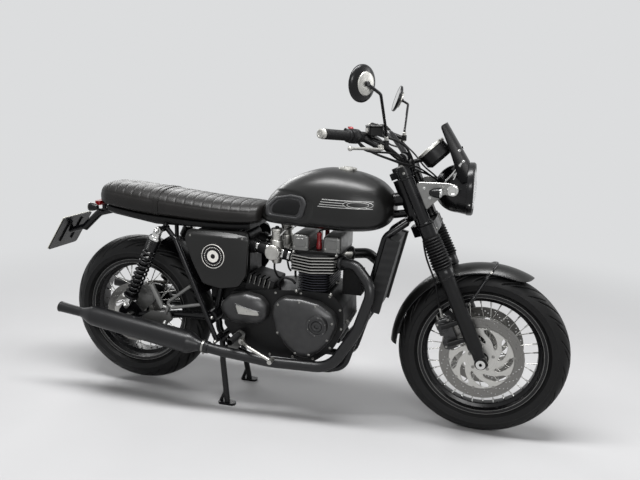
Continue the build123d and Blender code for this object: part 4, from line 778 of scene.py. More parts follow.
def circleLine(x, z, radius, steps):
    return [(x + radius * cos(2 * pi * k / steps), z + radius * sin(2 * pi * k / steps)) for k in range(steps)]


def flatCurve(name, loops, thickness, centre, body, material, rim=0.35):
    curve = bpy.data.curves.new(name, "CURVE")
    curve.dimensions, curve.fill_mode = "2D", "BOTH"
    for line in loops:
        addLoop(curve, line)
    curve.extrude, curve.bevel_depth = thickness / 2000 - rim / 1000, rim / 1000
    curve.materials.append(material)
    piece = bpy.data.objects.new(name, curve)
    piece.location = toMetres(centre)
    piece.rotation_euler = (pi / 2, 0, 0)
    bpy.context.scene.collection.objects.link(piece)
    bpy.context.view_layer.update()
    mesh = bpy.data.meshes.new_from_object(piece.evaluated_get(bpy.context.evaluated_depsgraph_get()))
    mesh.transform(piece.matrix_world)
    bpy.data.objects.remove(piece)
    solid = bpy.data.objects.new(name, mesh)
    bpy.context.scene.collection.objects.link(solid)
    mesh.shade_smooth()
    mesh.set_sharp_from_angle(angle=radians(30))
    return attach(solid, body)


def swirlWindow(start, end, sweep, width, turn, steps=14):
    middle, sides = [], ([], [])
    for k in range(steps + 1):
        t = k / steps
        radius, angle = start + (end - start) * t, turn + radians(sweep) * t ** 1.1
        middle.append(Vector((radius * cos(angle), radius * sin(angle))))
    for k, point in enumerate(middle):
        run = (middle[min(k + 1, steps)] - middle[max(k - 1, 0)]).normalized()
        t = k / steps
        half = width / 2 * sqrt(max(0.0, 1 - (2 * t - 1) ** 4)) * (0.62 + 0.5 * t)
        sides[0].append(point + Vector((-run.y, run.x)) * half)
        sides[1].append(point - Vector((-run.y, run.x)) * half)
    return sides[0] + sides[1][-2:0:-1]


def makeDisc(key):
    spec, body, axle = discs[key], wheels[key]["body"], wheels[key]["axle"]
    steel = discSteel(key + "BandSteel", axle, "#5E5D5B", "#8B8A87")
    bright = discSteel(key + "CarrierSteel", axle, "#A5A4A0", "#CFCECA")
    scale = spec["radius"] / 155
    for place in spec["places"]:
        name, outward = key + "Disc" + ("Right" if place < 0 else "Left"), -1 if place < 0 else 1
        centre = (axle.x, place, axle.z)
        band = [circleLine(0, 0, spec["radius"], 160), circleLine(0, 0, spec["band"] + 0.6, 128)]
        carrier = [circleLine(0, 0, spec["band"] - 0.6, 128), circleLine(0, 0, spec["bore"], 48)]
        for k in range(discs["slots"]):
            turn = 2 * pi * k / discs["slots"]
            carrier.append(swirlWindow(discs["windowStart"] * scale, discs["windowEnd"] * scale, discs["windowSweep"],
                discs["windowWidth"] * scale, turn))
            for m in range(8):
                lane = spec["band"] + (8 + (m % 4) * 7) * scale
                angle = turn + 2 * pi * m / discs["slots"] / 8
                band.append(circleLine(lane * cos(angle), lane * sin(angle), discs["holeRadius"], 8))
        for part, loops, thickness, material in (("Band", band, 5, steel), ("Carrier", carrier, 6, bright)):
            disc = flatCurve(name + part, loops, thickness, centre, body, material)
            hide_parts(spec["node"])
        studs = [bolt((axle.x + 45 * scale * cos(a), place + outward * 3, axle.z + 45 * scale * sin(a)),
            (0, outward, 0), 6.5, False) for a in (2 * pi * n / 5 + 0.3 for n in range(5))]
        studs += [solid([(0, 5.4), (1.2, 5), (1.4, 2.4), (0.4, 2)], (axle.x + spec["band"] * cos(a),
            place + outward * 2.6, axle.z + spec["band"] * sin(a)), (0, outward, 0), 20) for a in (2 * pi * n / 10
            + 0.15 for n in range(10))]
        makePiece(name + "Bolts", body, studs, [boltSteel])


for key in wheels:
    makeTyre(key)
    makeRim(key)
    makeHub(key)
    makeDisc(key)
print("wheels built")


# Seat: rows are station, half width, low, high.
seatShape = {
    "rows": ((-888, 44, 806, 846), (-866, 78, 795, 876), (-822, 104, 786, 889), (-680, 120, 768, 881),
        (-500, 124, 757, 864), (-320, 122, 752, 848), (-200, 112, 756, 843), (-155, 92, 764, 840)),
    "ribPitch": 39.0, "ribDepth": 2.6, "creaseWidth": 3.2, "seamHeight": 0.62, "strapStation": -590,
    "strapWidth": 26, "step": 2.8, "around": 112, "panFrom": -830, "panTo": -190, "panDepth": 17,
}


def between(rows, x):
    rows = sorted(rows)
    x = min(max(x, rows[0][0]), rows[-1][0])
    for k in range(len(rows) - 1):
        if rows[k][0] <= x <= rows[k + 1][0]:
            before, after = rows[max(k - 1, 0)], rows[min(k + 2, len(rows) - 1)]
            a, b = rows[k], rows[k + 1]
            span = b[0] - a[0]
            t = (x - a[0]) / span
            values = []
            for n in range(1, len(a)):
                m0 = (b[n] - before[n]) / (b[0] - before[0]) * span
                m1 = (after[n] - a[n]) / (after[0] - a[0]) * span
                values.append((2 * t ** 3 - 3 * t ** 2 + 1) * a[n] + (t ** 3 - 2 * t ** 2 + t) * m0
                    + (3 * t ** 2 - 2 * t ** 3) * b[n] + (t ** 3 - t ** 2) * m1)
            return values
    return list(rows[-1][1:])


def power(value, exponent):
    return copysign(abs(value) ** exponent, value)


def seatRing(x):
    half, low, high = between(seatShape["rows"], x)
    belly = low + 0.36 * (high - low)
    ring = []
    for k in range(seatShape["around"]):
        a = 2 * pi * k / seatShape["around"]
        if sin(a) >= 0:
            y, z = power(cos(a), 2 / 2.9) * half, belly + power(sin(a), 2 / 2.5) * (high - belly)
        else:
            y, z = power(cos(a), 2 / 3.6) * (half - 1), belly + power(sin(a), 2 / 3.6) * (belly - low)
        ring.append(Vector((x, y, z)))
    return ring, low, high, half


def makeSeat():
    spec = seatShape
    first, last = spec["rows"][0][0], spec["rows"][-1][0]
    count = int((last - first) / spec["step"])
    rows = []
    for n in range(count + 1):
        x = first + (last - first) * n / count
        ring, low, high, half = seatRing(x)
        centre = Vector((x, 0, low + 0.5 * (high - low)))
        tucked = []
        for p in ring:
            lift = (p.z - low) / (high - low)
            onTop = min(1, max(0, (lift - spec["seamHeight"]) / 0.1))
            slant = (1 - min(1, abs(p.y) / half)) * 6
            phase = ((x + slant + 155) / spec["ribPitch"]) % 1
            near = min(phase, 1 - phase) * spec["ribPitch"]
            crease = exp(-(near / spec["creaseWidth"]) ** 2)
            clear = min(1, abs(x - spec["strapStation"]) / 22)
            dip = spec["ribDepth"] * (0.35 + 0.65 * crease) * onTop * clear
            seam = 1.6 * exp(-((lift - spec["seamHeight"]) / 0.035) ** 2)
            welt = -1.5 * exp(-((lift - 0.2) / 0.03) ** 2)
            out = (p - centre).normalized()
            tucked.append(p - out * (dip + (seam if abs(p.y) > half * 0.3 else 0) + (welt if lift < 0.4 else 0)))
        rows.append(tucked)
    rounded = []
    for n, row in enumerate(rows):
        fromEnd = min(n, count - n) * spec["step"]
        pull = 1 - 0.16 * max(0, 1 - fromEnd / 14) ** 2
        centre = meanOf(row)
        rounded.append([centre + (p - centre) * pull for p in row])
    cover = makePiece("seatCover", "chassis", [lofted(rounded)], [vinyl], ["seat"], 60)
    strap = []
    for offset, swell in ((-1.0, 0.4), (-0.9, 3.0), (-0.66, 3.0), (-0.56, 1.4), (0.56, 1.4), (0.66, 3.0), (0.9, 3.0),
            (1.0, 0.4)):
        x = spec["strapStation"] + offset * spec["strapWidth"] / 2
        ring, low, high, half = seatRing(x)
        centre = Vector((x, 0, (low + high) / 2))
        strap.append([p + (p - centre).normalized() * swell for p in ring])
    makePiece("seatStrap", "chassis", [lofted(strap, False)], [vinyl], ["seat"], 40)
    pan = []
    for n in range(33):
        x = spec["panFrom"] + (spec["panTo"] - spec["panFrom"]) * n / 32
        half, low, high = between(spec["rows"], x)
        shape = roundedOutline([(-half + 14, low - spec["panDepth"]), (half - 14, low - spec["panDepth"]),
            (half - 8, low + 5), (-half + 8, low + 5)], 5, 3)
        pan.append([Vector((x, p.x, p.y)) for p in shape])
    makePiece("seatPan", "chassis", [lofted(pan)], [plastic], ["seat"], 40)


makeSeat()
print("seat built")

# Tank: rows are station, half width, low, high.
tank = {
    "rows": ((-152, 62, 772, 836), (-120, 94, 765, 884), (-40, 117, 760, 947), (90, 140, 757, 989),
        (210, 146, 757, 981), (300, 127, 768, 952), (346, 92, 792, 914), (364, 50, 824, 884)),
    "belly": 0.40, "upper": 2.35, "lower": 3.2, "around": 144, "step": 3.2,
    "kneeRecess": {"x": -46, "z": 842, "halfLength": 118, "halfHeight": 62, "depth": 7},
    "badge": {"start": 96, "end": 300, "heights": (860, 868, 877, 886), "thickness": 1.7, "ovalFrom": 192,
        "ovalHalf": 17},
}


def tankSection(x):
    half, low, high = between(tank["rows"], x)
    return half, low, high, low + tank["belly"] * (high - low)


def tankSide(x, z):
    half, low, high, belly = tankSection(x)
    bend, reach = (tank["upper"], high - belly) if z >= belly else (tank["lower"], belly - low)
    return half * (1 - min(1, abs(z - belly) / reach) ** bend) ** (1 / bend)


def kneeDip(x, z):
    knee = tank["kneeRecess"]
    away = (abs((x - knee["x"]) / knee["halfLength"]) ** 2.6 + abs((z - knee["z"]) / knee["halfHeight"]) ** 2.6)
    return knee["depth"] * min(1, max(0, (1.15 - away) / 0.35))


def makeTank():
    first, last = tank["rows"][0][0], tank["rows"][-1][0]
    count = int((last - first) / tank["step"])
    rows = []
    for n in range(count + 1):
        x = first + (last - first) * n / count
        half, low, high, belly = tankSection(x)
        ring = []
        for k in range(tank["around"]):
            a = 2 * pi * k / tank["around"]
            bend, reach = (tank["upper"], high - belly) if sin(a) >= 0 else (tank["lower"], belly - low)
            y, z = power(cos(a), 2 / bend) * half, belly + power(sin(a), 2 / bend) * reach
            dip = kneeDip(x, z) * min(1, abs(y) / half * 1.6) if abs(y) > 20 else 0
            ring.append(Vector((x, y - copysign(dip, y), z)))
        rows.append(ring)
    ends = []
    for row, way in ((rows[0], -1), (rows[-1], 1)):
        centre = meanOf(row)
        ends.append([[centre + (p - centre) * s + Vector((way * 0.2 * k, 0, 0)) for p in row] for k,
            s in enumerate((0.97, 0.9, 0.75, 0.4))])
    shell = lofted(list(reversed(ends[0])) + rows + ends[1])
    makePiece("tankShell", "chassis", [shell], [paint], ["fuel_tank"], 70)
    flange = []
    for side in (-1, 1):
        seam = []
        for n in range(60):
            x = -118 + (352 + 118) * n / 59
            half, low, high, belly = tankSection(x)
            z = low + 0.1 * (high - low)
            seam.append((x, side * (tankSide(x, z) + 0.6), z))
        flange.append(swept(seam, 2.0, 8))
    makePiece("tankSeam", "chassis", flange, [enamel])
    badge = tank["badge"]
    bars = []
    for side in (-1, 1):
        for k, z in enumerate(badge["heights"]):
            first, last = badge["start"] + k * 5, (badge["end"] if k in (0, 3) else badge["ovalFrom"] + 4)
            xs = [first + (last - first) * n / 30 for n in range(31)]
            bars.append(swept([(x, side * (tankSide(x, z) + 0.8), z) for x in xs], badge["thickness"], 8))
        middle = ((badge["ovalFrom"] + badge["end"]) / 2, (badge["heights"][0] + badge["heights"][-1]) / 2)
        reach = (badge["end"] - badge["ovalFrom"]) / 2
        for share in (1.0, 0.72):
            oval = []
            for n in range(64):
                x = middle[0] + reach * share * cos(2 * pi * n / 64)
                z = middle[1] + badge["ovalHalf"] * share * sin(2 * pi * n / 64) * 0.8
                oval.append((x, side * (tankSide(x, z) + 0.8), z))
            bars.append(swept(oval, badge["thickness"] * 0.9, 8, None, False, True))
    makePiece("tankBadgeBars", "chassis", bars, [chrome])


kneePad = {"outline": ((-134, 800), (-128, 840), (-90, 876), (-20, 892), (34, 888), (50, 864), (34, 812), (14, 798)),
    "levels": ((1.0, -1.0), (0.99, 4.4), (0.97, 6.2), (0.94, 7.0), (0.86, 7.0), (0.83, 6.2), (0.8, 2.6), (0.68, 2.4),
    (0.66, 3.6), (0.62, 4.6), (0.3, 4.9), (0.0, 5.0))}


def makeKneePads():
    line = roundedOutline(kneePad["outline"], 26, 7)
    centre = meanOf(line)
    for side, name in bothSides:
        rows = []
        for share, lift in kneePad["levels"]:
            ring = []
            for p in line:
                spot = centre + (p - centre) * share
                y = tankSide(spot.x, spot.y) - kneeDip(spot.x, spot.y) + lift
                ring.append(Vector((spot.x, side * y, spot.y)))
            rows.append(ring)
        # The raised outer rim takes the lighter grey as a painted highlight; the inner face stays black rubber.
        makePiece("kneePad" + name, "chassis", [lofted(rows[:8], False), (lofted(rows[7:], False), 1)],
            [padRimPaintedHighlight, rubber], ["knee_pads"], 50)


def makeFuelCap():
    low, high = (toStation(p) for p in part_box("fuel_cap"))
    centre = Vector(((low.x + high.x) / 2, 0, low.z))
    tall = high.z - low.z
    lid = turned([(0, 0), (0, 35), (tall - 12, 35.6), (tall - 9, 36), (tall - 6, 35), (tall - 4, 31), (tall - 3.4, 24),
        (tall - 4.4, 22.5), (tall - 4.4, 21), (tall - 1.5, 19.5), (tall - 0.6, 12), (tall, 0)], centre, (0, 0, 1), 72)
    key = turned([(tall - 1.6, 0), (tall - 1.6, 7), (tall - 0.2, 6.4), (tall - 0.1, 0)], centre + Vector((-9, 0, 0)),
        (0, 0, 1), 24)
    makePiece("fuelCap", "chassis", [lid, key], [castSilver], ["fuel_cap"], 30)


makeTank()
makeKneePads()
makeFuelCap()
print("tank built")

# Exhaust: start and end of the right silencer, y outwards.
exhaust = {"port": (179, 82, 638), "away": (0.9, 0.436, 0), "start": (-352, 203, 276), "end": (-1000, 206, 367),
    "radius": 45, "pipe": 21, "corners": ((320, 160, 566), (268, 164, 404), (168, 168, 240), (-70, 174, 234)),
    "bends": (50, 70, 150, 110, 260, 150)}


def makeExhaust():
    for side, name in bothSides:
        start, end = sided(exhaust["start"], side), sided(exhaust["end"], side)
        along = (end - start).normalized()
        length, big = (end - start).length, exhaust["radius"]
        profile = smoothProfile([(0, 21.6), (0, 23), (14, 24), (52, big), (64, big), (length - 175, big - 4),
            (length - 155, big - 6), (length - 110, 20), (length - 100, 19), (length - 12, 21), (length, 23),
            (length, 20.4), (length - 12, 18), (length - 150, 16), (length - 158, 0)])
        can = turned(profile, start, along, 72)
        makePiece("silencer" + name, "chassis", [can], [exhaustFinish], ["silencers"], 50)
        port, away, lead = sided(exhaust["port"], side), sided(exhaust["away"], side), start - along * 80
        corners = [port, port + away * 72] + [sided(p, side) for p in exhaust["corners"]] + [lead, start]
        path = bentPath(corners, exhaust["bends"], 4)
        pipe = swept(path, exhaust["pipe"], 40)
        flange = turned([(0, 0), (0, 29), (6, 30), (9, 28), (12, 25), (13, 0)], port, away, 40)
        clamp = turned([(-30, 21), (-30, 24.5), (-4, 24.5), (-2, 23.4), (-1, 21)], start, along, 40)
        makePiece("headerPipe" + name, "chassis", [pipe, flange, clamp], [exhaustFinish], ["exhaust_headers"], 45)


makeExhaust()
print("exhaust built")

# Fork gaiters
gaiter = {"low": 372.3, "high": 504.7, "folds": 11, "inner": 24.5, "outer": 38.6}


def makeGaiters():
    parts = []
    for side in (-1, 1):
        length = gaiter["high"] - gaiter["low"]
        profile = [(0, 0), (0, 33), (4, 33.4)]
        steps = gaiter["folds"] * 10
        for k in range(steps + 1):
            t = k / steps
            wave = 0.5 - 0.5 * cos(2 * pi * gaiter["folds"] * t)
            profile.append((6 + (length - 12) * t, 31 - 1.6 * t + (gaiter["outer"] - 31 - 3 * t) * wave ** 0.7))
        profile += [(length - 4, 31), (length, 30.5), (length, 0)]
        parts.append(turned(profile, legPoint(gaiter["low"], side), forkUp, 56))
    makePiece("forkGaiters", "steering", parts, [rubber], ["fork_gaiters"], 60)


makeGaiters()
print("fork dressed")

# Headlamp
lamp = {"x": 640, "z": 939, "radius": 97, "bulge": 12}


def makeHeadlamp():
    centre, ahead, r = Vector((lamp["x"], 0, lamp["z"])), (1, 0, 0), lamp["radius"]
    rim = turned([(-14, r - 5.5), (-14, r - 0.5), (-10, r), (3, r), (7, r - 3), (9, r - 6), (8, r - 8.5), (3, r - 9),
        (0, r - 8), (-4, r - 6)], centre, ahead, 96, True)
    makePiece("headlampRim", "steering", [rim], [enamel], ["headlamp_lens"], 40)
    lens = [(4 + lamp["bulge"] * (1 - (k / 12) ** 2), (r - 9) * k / 12) for k in range(13)]
    inner = [(a - 3, b) for a, b in reversed(lens)]
    makePiece("headlampGlass", "steering", [turned(lens + inner, centre, ahead, 72)], [glass], ["headlamp_lens"], 40)
    depth = 62
    bowl = [(-depth * (1 - (k / 16) ** 2) - 1, max(0.0, (r - 15.5) * k / 16)) for k in range(17)]
    dish = openEnded(turned(bowl + [(-1, r - 10), (1, r - 9.5)], centre, ahead, 72))
    makePiece("headlampReflector", "steering", [dish], [reflector], ["headlamp_lens"], 50)
    bulb = turned([(-52, 0), (-52, 9), (-30, 9), (-26, 14), (-8, 16), (-5, 14), (-4, 0)], centre, ahead, 32)
    makePiece("headlampBulbShield", "steering", [bulb], [chrome], ["headlamp_lens"], 40)


makeHeadlamp()
print("headlamp built")

# Instruments: the two dials and what is on them.
dials = {"centre": (497, 0, 1066), "spacing": 56, "radius": 43, "lift": 20.3}


def makeDials():
    facing = Vector((-0.69, 0, 0.72)).normalized()
    right = Vector((0, -1, 0))
    up = facing.cross(right).normalized()
    if up.z < 0:
        up = -up
    for side, name in bothSides:
        centre = Vector(dials["centre"]) + Vector((0, side * dials["spacing"], 0))
        card = solid([(dials["lift"], 42.6), (dials["lift"] + 0.6, 42.6)], centre, facing, 64)
        marks = []
        for k in range(31):
            angle = radians(225 - 270 * k / 30)
            long = 6 if k % 3 == 0 else 3
            way = right * cos(angle) + up * sin(angle)
            place = centre + facing * (dials["lift"] + 0.8) + way * (39 - long / 2)
            turn = Matrix((way, facing.cross(way), facing)).transposed()
            marks.append(block(place, (long, 1.2 if k % 3 == 0 else 0.7, 0.3), turn))
        window = centre + facing * (dials["lift"] + 0.8) - up * 17
        marks.append(block(window, (26, 11, 0.3), Matrix((right, up, facing)).transposed()))
        pointer = radians(214)
        way = right * cos(pointer) + up * sin(pointer)
        hand = swept([centre + facing * 21.9 - way * 7, centre + facing * 21.9 + way * 30], [1.5, 0.5], 6)
        boss = turned([(21, 0), (21, 5), (22.6, 4.2), (22.8, 0)], centre, facing, 24)
        makePiece("dial" + name, "steering", [(card, 0), (joined(marks), 1), (hand, 2), (boss, 0)],
            [dialBlack, dialWhite, red], (), 30)
        bezel = turned([(14, 50.2), (20, 51), (24, 50.4), (25.6, 48.6), (25.4, 45), (23.4, 43.4), (21, 43)], centre,
            facing, 72)
        makePiece("dialBezel" + name, "steering", [openEnded(bezel)], [castSilver], (), 50)
        cover = turned([(22.9, 0), (22.9, 43.2), (23.7, 43.2), (24.4, 20), (24.6, 0)], centre, facing, 48)
        makePiece("dialGlass" + name, "steering", [cover], [glass], (), 50)
        for n in range(6):
            angle = radians(225 - 270 * n / 5)
            way = right * cos(angle) + up * sin(angle)
            addNumber("dialNumber" + name + str(n), str(n * 2), centre + facing * (dials["lift"] + 0.9) + way * 28,
                right, up, facing)


def addNumber(name, words, place, right, up, facing):
    text = bpy.data.curves.new(name, "FONT")
    text.body, text.size, text.align_x, text.align_y = words, 0.0085, "CENTER", "CENTER"
    text.extrude = 0.0001
    text.materials.append(dialWhite)
    piece = bpy.data.objects.new(name, text)
    piece.matrix_world = Matrix.Translation(toMetres(place)) @ Matrix((right, up, facing)).transposed().to_4x4()
    bpy.context.scene.collection.objects.link(piece)
    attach(piece, "steering")


makeDials()
print("dials built")

# Chain: one link for each pitch along the loop round both sprockets.
chain = {"front": (-215, 400), "frontRadius": 36, "rearRadius": 88, "y": 92, "pitch": 15.875}


def chainLoop():
    front, rear = Vector(chain["front"]), Vector((rearAxle.x, rearAxle.z))
    span, lean = (rear - front).length, atan2(rear.y - front.y, rear.x - front.x)
    opened = asin((chain["rearRadius"] - chain["frontRadius"]) / span)
    rise = pi / 2 + opened
    straight = sqrt(span ** 2 - (chain["rearRadius"] - chain["frontRadius"]) ** 2)
    rearArc, frontArc = chain["rearRadius"] * 2 * rise, chain["frontRadius"] * (2 * pi - 2 * rise)
    total = 2 * straight + rearArc + frontArc
    links = round(total / chain["pitch"] / 2) * 2

    def at(distance):
        distance %= total
        if distance < straight:
            start = front + turnedBy(chain["frontRadius"], lean + rise)
            return start + turnedBy(distance, lean + opened)
        distance -= straight
        if distance < rearArc:
            return rear + turnedBy(chain["rearRadius"], lean + rise - distance / chain["rearRadius"])
        distance -= rearArc
        if distance < straight:
            start = rear + turnedBy(chain["rearRadius"], lean - rise)
            return start - turnedBy(distance, lean - opened)
        distance -= straight
        return front + turnedBy(chain["frontRadius"], lean - rise - distance / chain["frontRadius"])

    return [at(total * k / links) for k in range(links)]


def turnedBy(length, angle):
    return Vector((cos(angle), sin(angle))) * length


def makeChain():
    spots = chainLoop()
    plates, rollers = [], []
    for k, spot in enumerate(spots):
        after = spots[(k + 1) % len(spots)]
        run = after - spot
        along = run.normalized()
        across = Vector((-along.y, along.x))
        line = []
        for n in range(20):
            t = n / 20 * 2 * pi
            waist = 6.6 - 1.6 * abs(sin(t)) ** 6
            line.append(spot + run / 2 + along * cos(t) * (run.length / 2 + 6.0) + across * sin(t) * waist)
        inner = k % 2
        for side in (-1, 1):
            y = chain["y"] + side * (4.6 if inner else 6.4)
            plates.append(lofted([[Vector((p.x, y - 0.7, p.y)) for p in line], [Vector((p.x, y + 0.7,
                p.y)) for p in line]]))
        rollers.append(solid([(-7.6, 2.6), (-4, 2.6), (-4, 5), (4, 5), (4, 2.6), (7.6, 2.6)],
            (spot.x, chain["y"], spot.y), (0, 1, 0), 12))
    makePiece("chainLinks", "chassis", [(joined(plates), 0), (joined(rollers), 0)], [chainFinish], ["drive_chain"], 30)


makeChain()
print("chain built")

# Engine covers: smooth domes over the cases' outlines, alike on both sides.
covers = {
    "case": 115.3,
    "primary": {"outline": ((-76, 424), (-66, 474), (-30, 496), (42, 498), (112, 486), (172, 448), (186, 404),
        (164, 345), (124, 296), (72, 262), (32, 262), (-10, 295), (-62, 356)),
        "rounding": 46, "flange": 34, "rise": 31.5, "bolts": (0.13, 0.24, 0.33, 0.47, 0.58, 0.7, 0.83, 0.95)},
    "gearbox": {"outline": ((-292, 402), (-296, 440), (-262, 476), (-190, 495), (-126, 484), (-96, 448), (-98, 400),
        (-128, 374), (-200, 364), (-260, 370)),
        "rounding": 44, "flange": 20, "rise": 35.5, "bolts": ()},
    "roundness": 2.15,
    "cap": {"x": 116, "z": 408, "outer": 40, "top": 193.0},
    "window": ((-222, 452), (-132, 430), (-126, 414), (-208, 415)),
}


def coverLine(spec):
    line = roundedOutline(spec["outline"], spec["rounding"], 7)
    return line, meanOf(line)


# Height of a cover's dome above the case at a point of its side view.
def domeHeight(spec, x, z):
    line, centre = coverLine(spec)
    ray = Vector((x, z)) - centre
    if ray.length < 1e-6:
        return spec["flange"] + spec["rise"]
    edge = min((q - centre for q in line), key=lambda p: p.angle(ray))
    share = min(1.0, ray.length / edge.length)
    return spec["flange"] + spec["rise"] * (1 - share ** covers["roundness"]) ** (1 / covers["roundness"])


def domeShape(spec, side):
    line, centre = coverLine(spec)
    rows = []
    for height in (0, spec["flange"] * 0.5, spec["flange"]):
        rows.append([Vector((p.x, side * (covers["case"] + height), p.y)) for p in line])
    for k in range(1, 15):
        angle = pi / 2 * min(k / 14, 0.995)
        share, lift = cos(angle) ** (2 / covers["roundness"]), sin(angle) ** (2 / covers["roundness"])
        rows.append([Vector((centre.x + (p.x - centre.x) * share, side * (covers["case"] + spec["flange"]
            + spec["rise"] * lift), centre.y + (p.y - centre.y) * share)) for p in line])
    return lofted(rows)


def makeCovers():
    for side, name in bothSides:
        primary, gearbox, cap = covers["primary"], covers["gearbox"], covers["cap"]
        centre, out = Vector((cap["x"], side * 150, cap["z"])), Vector((0, side, 0))
        high = cap["top"] - 150
        ring = solid([(0, cap["outer"]), (high - 3, cap["outer"]), (high - 0.6, cap["outer"] - 1.5),
            (high, cap["outer"] - 4), (high, 33), (high - 1, 31.5), (high - 7, 30.5), (high - 8, 27), (high - 8, 23),
            (high - 6, 20), (high - 2.5, 18.5), (high - 2, 16), (high - 2, 11.5), (high - 3, 10), (high - 9, 9.6)],
            centre, out, 64)
        domes = [domeShape(primary, side), domeShape(gearbox, side)]
        bolts = []
        for spec in (primary, gearbox):
            line, middle = coverLine(spec)
            for share in spec["bolts"]:
                p = line[int(share * len(line))]
                spot = middle + (p - middle) * 0.9
                high = covers["case"] + domeHeight(spec, spot.x, spot.y)
                bolts.append(bolt((spot.x, side * (high - 2.5), spot.y), out, 5.5, False, 0.9))
        for angle in (radians(60 * k + 20) for k in range(6)):
            bolts.append(bolt((cap["x"] + 35.6 * cos(angle), side * (cap["top"] - 0.8), cap["z"] + 35.6 * sin(angle)),
                out, 2.4, False, 0.6))
        window = finer(roundedOutline(covers["window"], 6, 4), 5)
        middle = meanOf(window)
        frameRows, paneRows = [], []
        for share, lift in ((1.3, -1.5), (1.25, 1.4), (1.15, 2.4), (1.06, 2.0), (1.02, 0.3)):
            frameRows.append([windowPoint(middle, p, share, lift, side) for p in window])
        for share, lift in [(1.04, 0.2)] + [(0.95 - 0.1 * k, 0.8) for k in range(10)]:
            paneRows.append([windowPoint(middle, p, share, lift, side) for p in window])
        makePiece("engineCovers" + name, "chassis", [(joined(domes), 0), (ring, 0), (lofted(frameRows, False), 0),
            (lofted(paneRows, False), 1), (joined(bolts), 2)], [graphite, castSilver, boltSteel], ["engine_covers"],
            40)


def windowPoint(middle, point, share, lift, side):
    spot = middle + (point - middle) * share
    return Vector((spot.x, side * (covers["case"] + domeHeight(covers["gearbox"], spot.x, spot.y) + lift), spot.y))


def roundedPlan(halfX, halfY, corner, steps):
    return roundedOutline([(-halfX, -halfY), (halfX, -halfY), (halfX, halfY), (-halfX, halfY)], corner, steps)


# A block with rounded corners in plan and a soft crown; sizes along x, y and between two heights.
def softBlock(centre, sizeX, sizeY, low, high, corner, crown):
    halfX, halfY = sizeX / 2, sizeY / 2
    line = roundedPlan(halfX, halfY, corner, 6)
    rows = [[Vector((centre[0] + p.x, centre[1] + p.y, low)) for p in line]]
    for k in range(7):
        angle = pi / 2 * k / 6
        inset = crown * (1 - cos(angle))
        level = high - crown + crown * sin(angle)
        rows.append([Vector((centre[0] + p.x * (1 - inset / halfX), centre[1] + p.y * (1 - inset / halfY),
            level)) for p in line])
    return lofted(rows)


topEnd = {"x": 75, "ridges": ((21, 68), (145, 70)), "ridgeLength": 222, "low": 679.5, "high": 741, "plugX": 83,
    "spacing": 60}


def makeTopEnd():
    parts, bolts = [], []
    for x, width in topEnd["ridges"]:
        parts.append((softBlock((x, 0), width, topEnd["ridgeLength"], topEnd["low"], topEnd["high"], 16, 13), 0))
        for side in (-1, 1):
            for along in (-24, 24):
                bolts.append(bolt((x + along, side * (topEnd["ridgeLength"] / 2 - 0.5), topEnd["low"] + 12),
                    (0, side, 0), 5.0, False, 0.8))
            parts.append((sidePlate(roundedOutline([(x - width / 2 + 12, 694), (x + width / 2 - 12, 694),
                (x + width / 2 - 15, 726), (x - width / 2 + 15, 726)], 9), side, topEnd["ridgeLength"] / 2 - 1,
                topEnd["ridgeLength"] / 2 + 1.4, 1.0), 0))
    parts.append((softBlock((81, 0), 196, 216, 668.3, 680.5, 18, 3), 3))
    for side in (-1, 1):
        foot = Vector((topEnd["plugX"], side * topEnd["spacing"], 680.6))
        parts.append((turned([(0, 0), (0, 11.5), (20, 11), (23, 9.4), (48, 9), (52, 10), (60, 10), (64, 7), (65, 0)],
            foot, (0, 0, 1), 24), 1))
        lead = smoothPath([foot + Vector((0, 0, 62)), foot + Vector((4, side * 2, 72)), foot + Vector((34, 0, 80)),
            foot + Vector((66, -side * 20, 84))])
        parts.append((swept(lead, 3.4, 10), 3))
        for x in (-2, 44, 122, 168):
            for y in (98, 118):
                if y == 98 or x in (-2, 168):
                    parts.append((acornNut((x, side * y, 669), 6.2), 2))
    parts.append((joined(bolts), 2))
    makePiece("camBoxes", "chassis", parts, [camGrey, red, boltSteel, castBlack], ["cam_cover"], 40)
    details = []
    for side in (-1, 1):
        mouth, away = sided(exhaust["port"], side), sided(exhaust["away"], side).normalized()
        across = Vector((0, 0, 1))
        for lift in (-22, 22):
            details.append(acornNut(mouth - away * 2 + across * lift, 6.5, away))
            details.append(swept([mouth - away * 16 + across * lift, mouth + across * lift], 3.2, 8))
    makePiece("portStuds", "chassis", details, [boltSteel])


def acornNut(place, size, facing=(0, 0, 1)):
    hexagon = solid([(0, size), (size * 0.9, size), (size * 1.0, size * 0.9)], place, facing, 6)
    dome = turned([(size * 0.9, 0), (size * 0.9, size * 0.8), (size * 1.35, size * 0.66), (size * 1.65, size * 0.3),
        (size * 1.7, 0)], place, facing, 16)
    return joined([hexagon, dome])


makeCovers()
makeTopEnd()
print("engine dressed")

# Throttle bodies shaped like carburettors
induction = {"x": -90, "y": 60, "along": (-0.985, 0, 0.17)}


